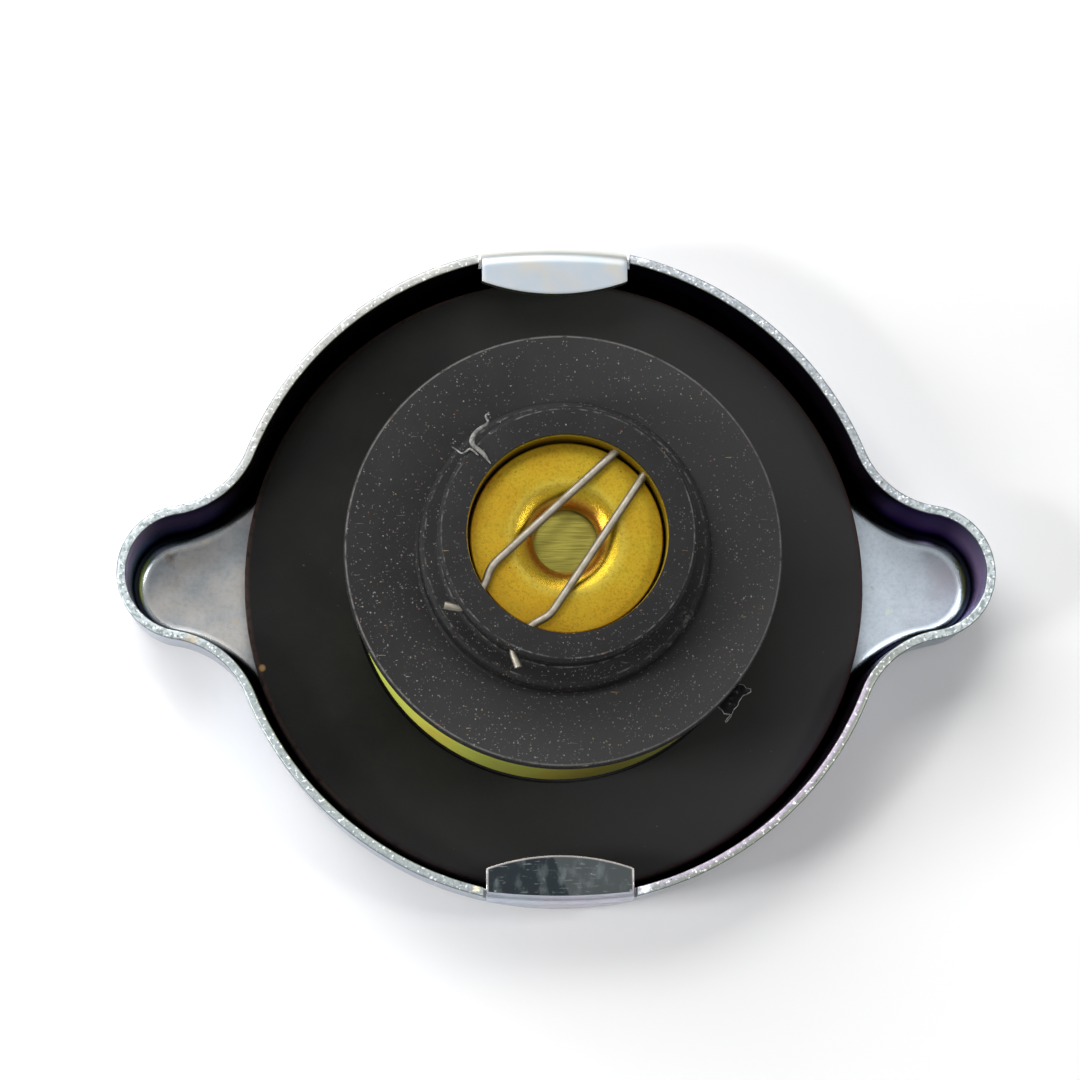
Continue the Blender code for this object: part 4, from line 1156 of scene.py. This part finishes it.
# Places where mould flash was torn off and left the rubber rough and pale
TORN_PLACES = (((690, 620), 1.3), ((645, 625), 1.0), ((672, 648), 0.9))
for pixel, radius in TORN_PLACES:
    spot = at_pixel(*pixel, shoulder_level) * MM
    flecks = ramp(tree, scaled_noise(tree, place, 2.6, 6.0), [(0.47, 0.0), (0.54, 0.9)])
    pale = worked(tree, "MULTIPLY", patch(tree, place, spot, radius, 1.4), flecks)
    colour = mix(tree, pale, colour, (0.13, 0.125, 0.12))
tree.links.new(colour, shader.inputs["Base Color"])
bumped(tree, shader, scaled_noise(tree, place, 3.0, 4.0), 0.00005, 0.5)

section = [(LIP_BORE, seal_high.z)]
section += arc(LIP_RADIUS - LIP_ROUND, seal_high.z - LIP_ROUND, LIP_ROUND, 90.0, 0.0, 5)
section += [(LIP_RADIUS, seal_high.z - LIP_HEIGHT), (NECK_RADIUS, seal_high.z - LIP_HEIGHT)]
section += arc(NECK_RADIUS + NECK_FILLET, shoulder_level + NECK_FILLET, NECK_FILLET,
               180.0, 270.0, 5)
section += arc(SHOULDER_RADIUS - SHOULDER_ROUND, shoulder_level - SHOULDER_ROUND,
               SHOULDER_ROUND, 90.0, 0.0, 6)
section += [(SHOULDER_RADIUS, face_level + SEAL_EDGE), (SHOULDER_RADIUS + SEAL_EDGE, face_level)]
section += arc(seal_high.x - SEAL_EDGE, face_level - SEAL_EDGE, SEAL_EDGE, 90.0, 0.0, 4)
section += arc(seal_high.x - SEAL_EDGE, seal_low.z + SEAL_EDGE, SEAL_EDGE, 0.0, -90.0, 4)
section += [
    (WAIST_HOLE, seal_low.z), (WAIST_HOLE, shelf_under), (cup_high.x + GAP, shelf_under),
    (cup_high.x + GAP, seal_high.z - LIP_ROOF), (LIP_BORE, seal_high.z - LIP_ROOF),
]
seal = turn("moulded_seal", section, SEAL_STEPS)
dress(seal, seal_rubber, "pressure_valve", "valve_seal")


# Torn rubber on the seal. Mould flash that was left on it: a curled thread with a branch over
# the lip at the upper left, and a ragged shred at the edge of the disc at the lower right.
THREAD_RADIUS = 0.00011
THREAD_SIDES = 3
# Each point: its pixel in the photograph, its drop below the lip's top in millimetres, and its
# share of the thread's radius
THREAD_PATH = (
    (491, 464, 0.0, 0.6), (487, 459, 0.0, 1.3), (484, 454, 0.0, 2.2), (479, 450, 0.0, 2.2),
    (474, 447, 0.0, 2.2), (471, 441, 0.2, 2.7), (473, 437, 0.3, 2.5), (476, 432, 0.5, 2.3),
    (481, 428, 0.6, 2.1), (486, 425, 0.7, 1.6), (489, 422, 0.8, 1.3), (487, 419, 0.9, 1.3),
    (485, 416, 1.0, 1.2), (487, 414, 1.0, 1.1), (490, 415, 1.0, 0.9),
)
BRANCH_PATH = (
    (452, 447, 0.8, 0.6), (456, 449, 0.6, 0.8), (460, 453, 0.35, 0.8), (463, 454, 0.1, 0.9),
    (467, 451, 0.0, 1.1), (470, 448, 0.0, 1.2), (474, 451, 0.0, 1.2), (479, 456, 0.0, 0.9),
)
SHRED_PIXELS = (
    (739, 684), (744, 685), (746, 688), (751, 689), (751, 692), (746, 695), (743, 696),
    (739, 702), (738, 706), (734, 710), (731, 717), (726, 723), (725, 721), (730, 715),
    (724, 714), (722, 711), (718, 707), (715, 700), (730, 684),
)
SHRED_THICKNESS = 0.0003
SHRED_LIFT = 0.0003
SHRED_EDGE = 0.00006

torn_rubber, tree, shader, place = new_material("torn_rubber", 0.66, 0.0)
colour = ramp(tree, scaled_noise(tree, place, 2.2, 4.0), [
    (0.36, (0.05, 0.05, 0.05)), (0.50, (0.13, 0.13, 0.125)), (0.64, (0.24, 0.235, 0.22)),
])
tree.links.new(colour, shader.inputs["Base Color"])
bumped(tree, shader, scaled_noise(tree, place, 6.0, 3.0), 0.00008, 0.8)

black_shred, tree, shader, place = new_material("black_shred", 0.75, 0.0)
shader.inputs["Specular IOR Level"].default_value = 0.10
folds = ramp(tree, scaled_noise(tree, place, 1.6, 4.0), [
    (0.45, (0.003, 0.003, 0.003)), (0.62, (0.012, 0.012, 0.012)), (0.70, (0.09, 0.095, 0.095)),
])
tree.links.new(folds, shader.inputs["Base Color"])
bumped(tree, shader, scaled_noise(tree, place, 2.5, 4.0), 0.0002, 1.0)


def add_on(piece, body):
    """Let a piece that stands for no solid ride on a body."""
    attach(piece, body)


for name, path in (("flash_thread", THREAD_PATH), ("flash_branch", BRANCH_PATH)):
    points = []
    for x, y, drop, share in path:
        level = seal_high.z + THREAD_RADIUS - drop / MM
        points.append((*at_pixel(x, y, level), share))
    thread = wire(name, points, THREAD_RADIUS, THREAD_SIDES)
    apply_modifier(thread, "SUBSURF", levels=1)
    thread.data.materials.append(torn_rubber)
    add_on(thread, "pressure_valve")

shred_level = seal_low.z + SHRED_LIFT
bpy.ops.object.select_all(action="DESELECT")
bpy.ops.mesh.primitive_circle_add(vertices=len(SHRED_PIXELS), radius=SHRED_THICKNESS,
                                  fill_type="NGON")
shred = bpy.context.active_object
shred.name = "torn_shred"
for vertex, pixel in zip(shred.data.vertices, SHRED_PIXELS):
    vertex.co = at_pixel(*pixel, shred_level)
bpy.ops.object.mode_set(mode="EDIT")
bpy.ops.mesh.select_all(action="SELECT")
bpy.ops.mesh.inset(thickness=SHRED_EDGE)
bpy.ops.object.mode_set(mode="OBJECT")
apply_modifier(shred, "SOLIDIFY", thickness=SHRED_THICKNESS, offset=0.0)
shred.data.materials.append(black_shred)
shred.data.materials.append(torn_rubber)
for face in shred.data.polygons:
    if len(face.vertices) < len(SHRED_PIXELS):
        face.material_index = 1
add_on(shred, "pressure_valve")


# Seal cup. A stepped cup of chromated sheet: a sleeve inside the rubber ring, a shelf for
# the vacuum seat, a waist with a rolled bead that grips the plates, and a pierced base.
CUP_WAIST = 0.0079
CUP_BEND = 0.0008
WAIST_BEND = 0.0002
CUP_BEAD = 0.001
CUP_BEAD_HEIGHT = 0.0012
BEAD_STEPS = 8
GUIDE_HOLE = 0.0022
FLOW_HOLE = 0.0012
FLOW_CIRCLE = 0.005
FLOW_HOLES = 4

gold_chromate, tree, shader, place = new_material("golden_chromate", 0.44, 0.85)
clouds = scaled_noise(tree, place, 0.35, 3.0)
colour = ramp(tree, clouds, [
    (0.36, (0.32, 0.202, 0.009)), (0.50, (0.33, 0.222, 0.011)), (0.66, (0.32, 0.230, 0.013)),
])
reach = flat_reach(tree, place)
split = node(tree, "ShaderNodeSeparateXYZ", {0: place})
toward_left = worked(tree, "ADD", split.outputs["X"], split.outputs["Y"])
warmer = ranged(tree, toward_left, 3.0, -11.0, high=0.5)
colour = mix(tree, warmer, colour, (0.33, 0.18, 0.008))
# Painted highlight: a paler green-gold ring round the funnel's shoulder
painted_highlight_ring = ramp(tree, ranged(tree, reach, 4.4, 6.4),
    [(0.15, 0.0), (0.5, 0.35), (0.85, 0.0)])
colour = mix(tree, painted_highlight_ring, colour, (0.42, 0.36, 0.06))
copper = ranged(tree, reach, 4.3, 3.3)
colour = mix(tree, copper, colour, (0.46, 0.20, 0.030))
in_funnel = ranged(tree, reach, 5.6, 5.0)
smooth_funnel = ramp(tree, in_funnel, [(0.0, 0.44), (1.0, 0.26)])
tree.links.new(smooth_funnel, shader.inputs["Roughness"])
fine_grain = scaled_noise(tree, place, 4.2, 3.0)
fine_grain = ramp(tree, fine_grain, [(0.30, 0.72), (0.50, 0.96), (0.70, 1.0)])
colour = mix(tree, 1.0, colour, fine_grain, "MULTIPLY")
for layer in ((1.5, 0.07, 0.13), (3.0, 0.08, 0.22)):
    colour = speckled(tree, place, colour, *layer, (0.10, 0.05, 0.01))
satin_finish(tree, shader, place, colour, 0.25, 0.45, 0.00003, 0.6)

sleeve_turn = cup_high.x - CUP_BEND
under_shelf = CUP_SHELF - CUP_SHEET
bead_top = plate_high.z - PLATE_SHEET - GAP


def bead(radius, steps):
    """Half a roll that stands out from the waist, between the plates."""
    turns = [math.pi * step / BEAD_STEPS for step in steps]
    return [(radius + CUP_BEAD * math.sin(angle),
             bead_top - CUP_BEAD_HEIGHT * (1 - math.cos(angle)) / 2) for angle in turns]


section = [(cup_high.x, cup_high.z)]
section += arc(sleeve_turn, under_shelf + CUP_BEND, CUP_BEND, 0.0, -90.0, 6)
section += arc(CUP_WAIST + WAIST_BEND, under_shelf - WAIST_BEND, WAIST_BEND, 90.0, 180.0, 3)
section += bead(CUP_WAIST, range(BEAD_STEPS + 1))
section += arc(CUP_WAIST - CUP_BEND, cup_low.z + CUP_BEND, CUP_BEND, 0.0, -90.0, 5)
section += [(GUIDE_HOLE, cup_low.z), (GUIDE_HOLE, cup_low.z + CUP_SHEET)]
section += arc(CUP_WAIST - CUP_BEND, cup_low.z + CUP_BEND, CUP_BEND - CUP_SHEET, -90.0, 0.0, 4)
section += bead(CUP_WAIST - CUP_SHEET, reversed(range(BEAD_STEPS + 1)))
section += [(CUP_WAIST - CUP_SHEET, CUP_SHELF - CUP_SHEET), (CUP_WAIST, CUP_SHELF)]
section += arc(sleeve_turn, under_shelf + CUP_BEND, CUP_BEND - CUP_SHEET, -90.0, 0.0, 4)
section += [(cup_high.x - CUP_SHEET, cup_high.z)]
cup = turn("stepped_cup", section)
for index in range(FLOW_HOLES):
    angle = 2 * math.pi * (index + 0.5) / FLOW_HOLES
    bpy.ops.object.select_all(action="DESELECT")
    bpy.ops.mesh.primitive_cylinder_add(vertices=24, radius=FLOW_HOLE, depth=4 * CUP_SHEET)
    drill = bpy.context.active_object
    for vertex in drill.data.vertices:
        vertex.co += Vector((FLOW_CIRCLE * math.cos(angle), FLOW_CIRCLE * math.sin(angle),
                             cup_low.z))
    apply_modifier(cup, "BOOLEAN", object=drill, operation="DIFFERENCE")
    bpy.data.objects.remove(drill)
dress(cup, gold_chromate, "pressure_valve", "seal_cup")


# Vacuum seat. A small rubber ring on the cup's shelf, on which the vacuum disc closes.
SEAT_WIDTH = 0.0015
SEAT_ROUND = 0.0004

seat_low, seat_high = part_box("vacuum_seat")
seat_inner = seat_high.x - SEAT_WIDTH
seat_top = seat_high.z - SEAT_ROUND
section = arc(seat_inner + SEAT_ROUND, seat_top, SEAT_ROUND, 180.0, 90.0, 4)
section += arc(seat_high.x - SEAT_ROUND, seat_top, SEAT_ROUND, 90.0, 0.0, 4)
section += [(seat_high.x, seat_low.z), (seat_inner, seat_low.z)]
seat = turn("vacuum_seat_ring", section)
dress(seat, seal_rubber, "pressure_valve", "vacuum_seat")


# Vacuum disc. A thin golden disc whose middle is drawn down into a smooth funnel.
DISC_SHEET = 0.0006
FUNNEL_HOLE = 0.00305
FUNNEL_REACH = 0.0025
FUNNEL_DEPTH = 0.00185
FUNNEL_STEPS = 14
DISC_ROUND = 0.00015
DISC_STEPS = 200

disc_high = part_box("vacuum_disc")[1]
section = []
for step in range(FUNNEL_STEPS + 1):
    angle = math.pi / 2 * step / FUNNEL_STEPS
    section.append((FUNNEL_HOLE + FUNNEL_REACH * (1 - math.cos(angle)),
                    disc_high.z - FUNNEL_DEPTH * (1 - math.sin(angle))))
section += arc(disc_high.x - DISC_ROUND, disc_high.z - DISC_ROUND, DISC_ROUND, 90.0, 0.0, 3)
section.append((disc_high.x, disc_high.z - DISC_SHEET))
for step in range(FUNNEL_STEPS + 1):
    angle = math.pi / 2 * (FUNNEL_STEPS - step) / FUNNEL_STEPS
    section.append((FUNNEL_HOLE + DISC_SHEET / 2 + FUNNEL_REACH * (1 - math.cos(angle)),
                    disc_high.z - DISC_SHEET - (FUNNEL_DEPTH - DISC_SHEET)
                    * (1 - math.sin(angle))))
disc = turn("funnel_disc", section, DISC_STEPS)
dress(disc, gold_chromate, "vacuum_valve", "vacuum_disc")


# Vacuum stem. A headed brass pin, brushed flat on its end, that guides the disc.
STEM_RADIUS = 0.002
STEM_HEAD_HEIGHT = 0.0008
STEM_POINT = 0.0006

brushed_brass, tree, shader, place = new_material("brushed_brass", 0.42, 0.9)
strokes = scaled_noise(tree, place, 1.0, 5.0, (0.35, 9.0, 1.0))
colour = ramp(tree, strokes, [
    (0.32, (0.13, 0.115, 0.022)), (0.48, (0.205, 0.18, 0.032)), (0.68, (0.27, 0.245, 0.055)),
])
tree.links.new(colour, shader.inputs["Base Color"])
bumped(tree, shader, strokes, 0.00004, 0.6)

stem_low, stem_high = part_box("vacuum_stem")
head_under = stem_high.z - STEM_HEAD_HEIGHT
stem = turn("brass_stem", [
    (stem_high.x, stem_high.z), (stem_high.x, head_under), (STEM_RADIUS, head_under),
    (STEM_RADIUS, stem_low.z + STEM_POINT), (STEM_RADIUS - STEM_POINT, stem_low.z),
], SMALL_TURN_STEPS, filled=True, edge=PIN_EDGE)
dress(stem, brushed_brass, "vacuum_valve", "vacuum_stem")


# Spring clip. One hairpin of drawn steel wire: its closed end is hooked through the ring at
# the upper right, its legs press on the disc, and its cut tips come out at the lower left.
CLIP_ANGLE = math.radians(229.5)
CLIP_WIRE = 0.0004
CLIP_SIDES = 5
CLIP_BIGHT_REACH = 0.0115
CLIP_BIGHT_HALF = 0.0015
CLIP_BEND_U = 0.0069
CLIP_BEND_HALF = 0.00365
CLIP_EXIT_U = 0.0087
CLIP_EXIT_HALF = 0.00288
CLIP_KNEE_U = 0.0116
CLIP_TIP_U = 0.0126
CLIP_TIP_HALF = 0.0046
CLIP_CORNER = 0.0009
CLIP_CORNER_STEPS = 8
CLIP_SPACING = 0.0004

clip_low, clip_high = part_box("spring_clip")
clip_level = (clip_low.z + clip_high.z) / 2


def on_clip(u, v):
    """A point of the clip's own plane, in the cap's frame."""
    return Vector((u * math.cos(CLIP_ANGLE) - v * math.sin(CLIP_ANGLE),
                   u * math.sin(CLIP_ANGLE) + v * math.cos(CLIP_ANGLE), clip_level))


def bent_path(corners, radius, steps):
    """Points of a wire bent at each corner, with evenly spaced points between."""
    path = [Vector(corners[0])]
    for before, corner, after in zip(corners, corners[1:], corners[2:]):
        corner = Vector(corner)
        back = Vector(before) - corner
        ahead = Vector(after) - corner
        trim = min(radius, back.length / 2, ahead.length / 2)
        start = corner + back.normalized() * trim
        end = corner + ahead.normalized() * trim
        for step in range(steps + 1):
            share = step / steps
            path.append(start.lerp(corner, share).lerp(corner.lerp(end, share), share))
    path.append(Vector(corners[-1]))
    filled_path = [path[0]]
    for first, second in zip(path, path[1:]):
        pieces = max(1, round((second - first).length / CLIP_SPACING))
        filled_path += [first.lerp(second, part / pieces) for part in range(1, pieces + 1)]
    return filled_path


leg = [(CLIP_TIP_U, CLIP_TIP_HALF), (CLIP_KNEE_U, CLIP_EXIT_HALF), (CLIP_EXIT_U, CLIP_EXIT_HALF),
       (CLIP_BEND_U, CLIP_BEND_HALF), (-CLIP_BIGHT_REACH, CLIP_BIGHT_HALF)]
hairpin = bent_path(leg + [(u, -v) for u, v in reversed(leg)], CLIP_CORNER, CLIP_CORNER_STEPS)
clip = wire("hairpin_clip", [on_clip(*point) for point in hairpin], CLIP_WIRE, CLIP_SIDES)
clip.data.materials.append(wire_steel)
bpy.ops.object.mode_set(mode="EDIT")
bpy.ops.mesh.select_all(action="SELECT")
across = on_clip(0, 0) - on_clip(1, 0)
bpy.ops.mesh.bisect(plane_co=(0, 0, clip_level), plane_no=across.normalized())
bpy.ops.mesh.edge_split(type="EDGE")
bpy.ops.mesh.select_all(action="DESELECT")
work = bmesh.from_edit_mesh(clip.data)
for face in work.faces:
    face.select = face.calc_center_median().dot(across) > 0
bmesh.update_edit_mesh(clip.data)
bpy.ops.mesh.separate(type="SELECTED")
bpy.ops.object.mode_set(mode="OBJECT")
bight = next(piece for piece in bpy.context.selected_objects if piece != clip)
bight.name = "hairpin_clip_bight"
for piece, side in ((clip, 1), (bight, -1)):
    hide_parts("spring_clip")
    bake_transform(piece)
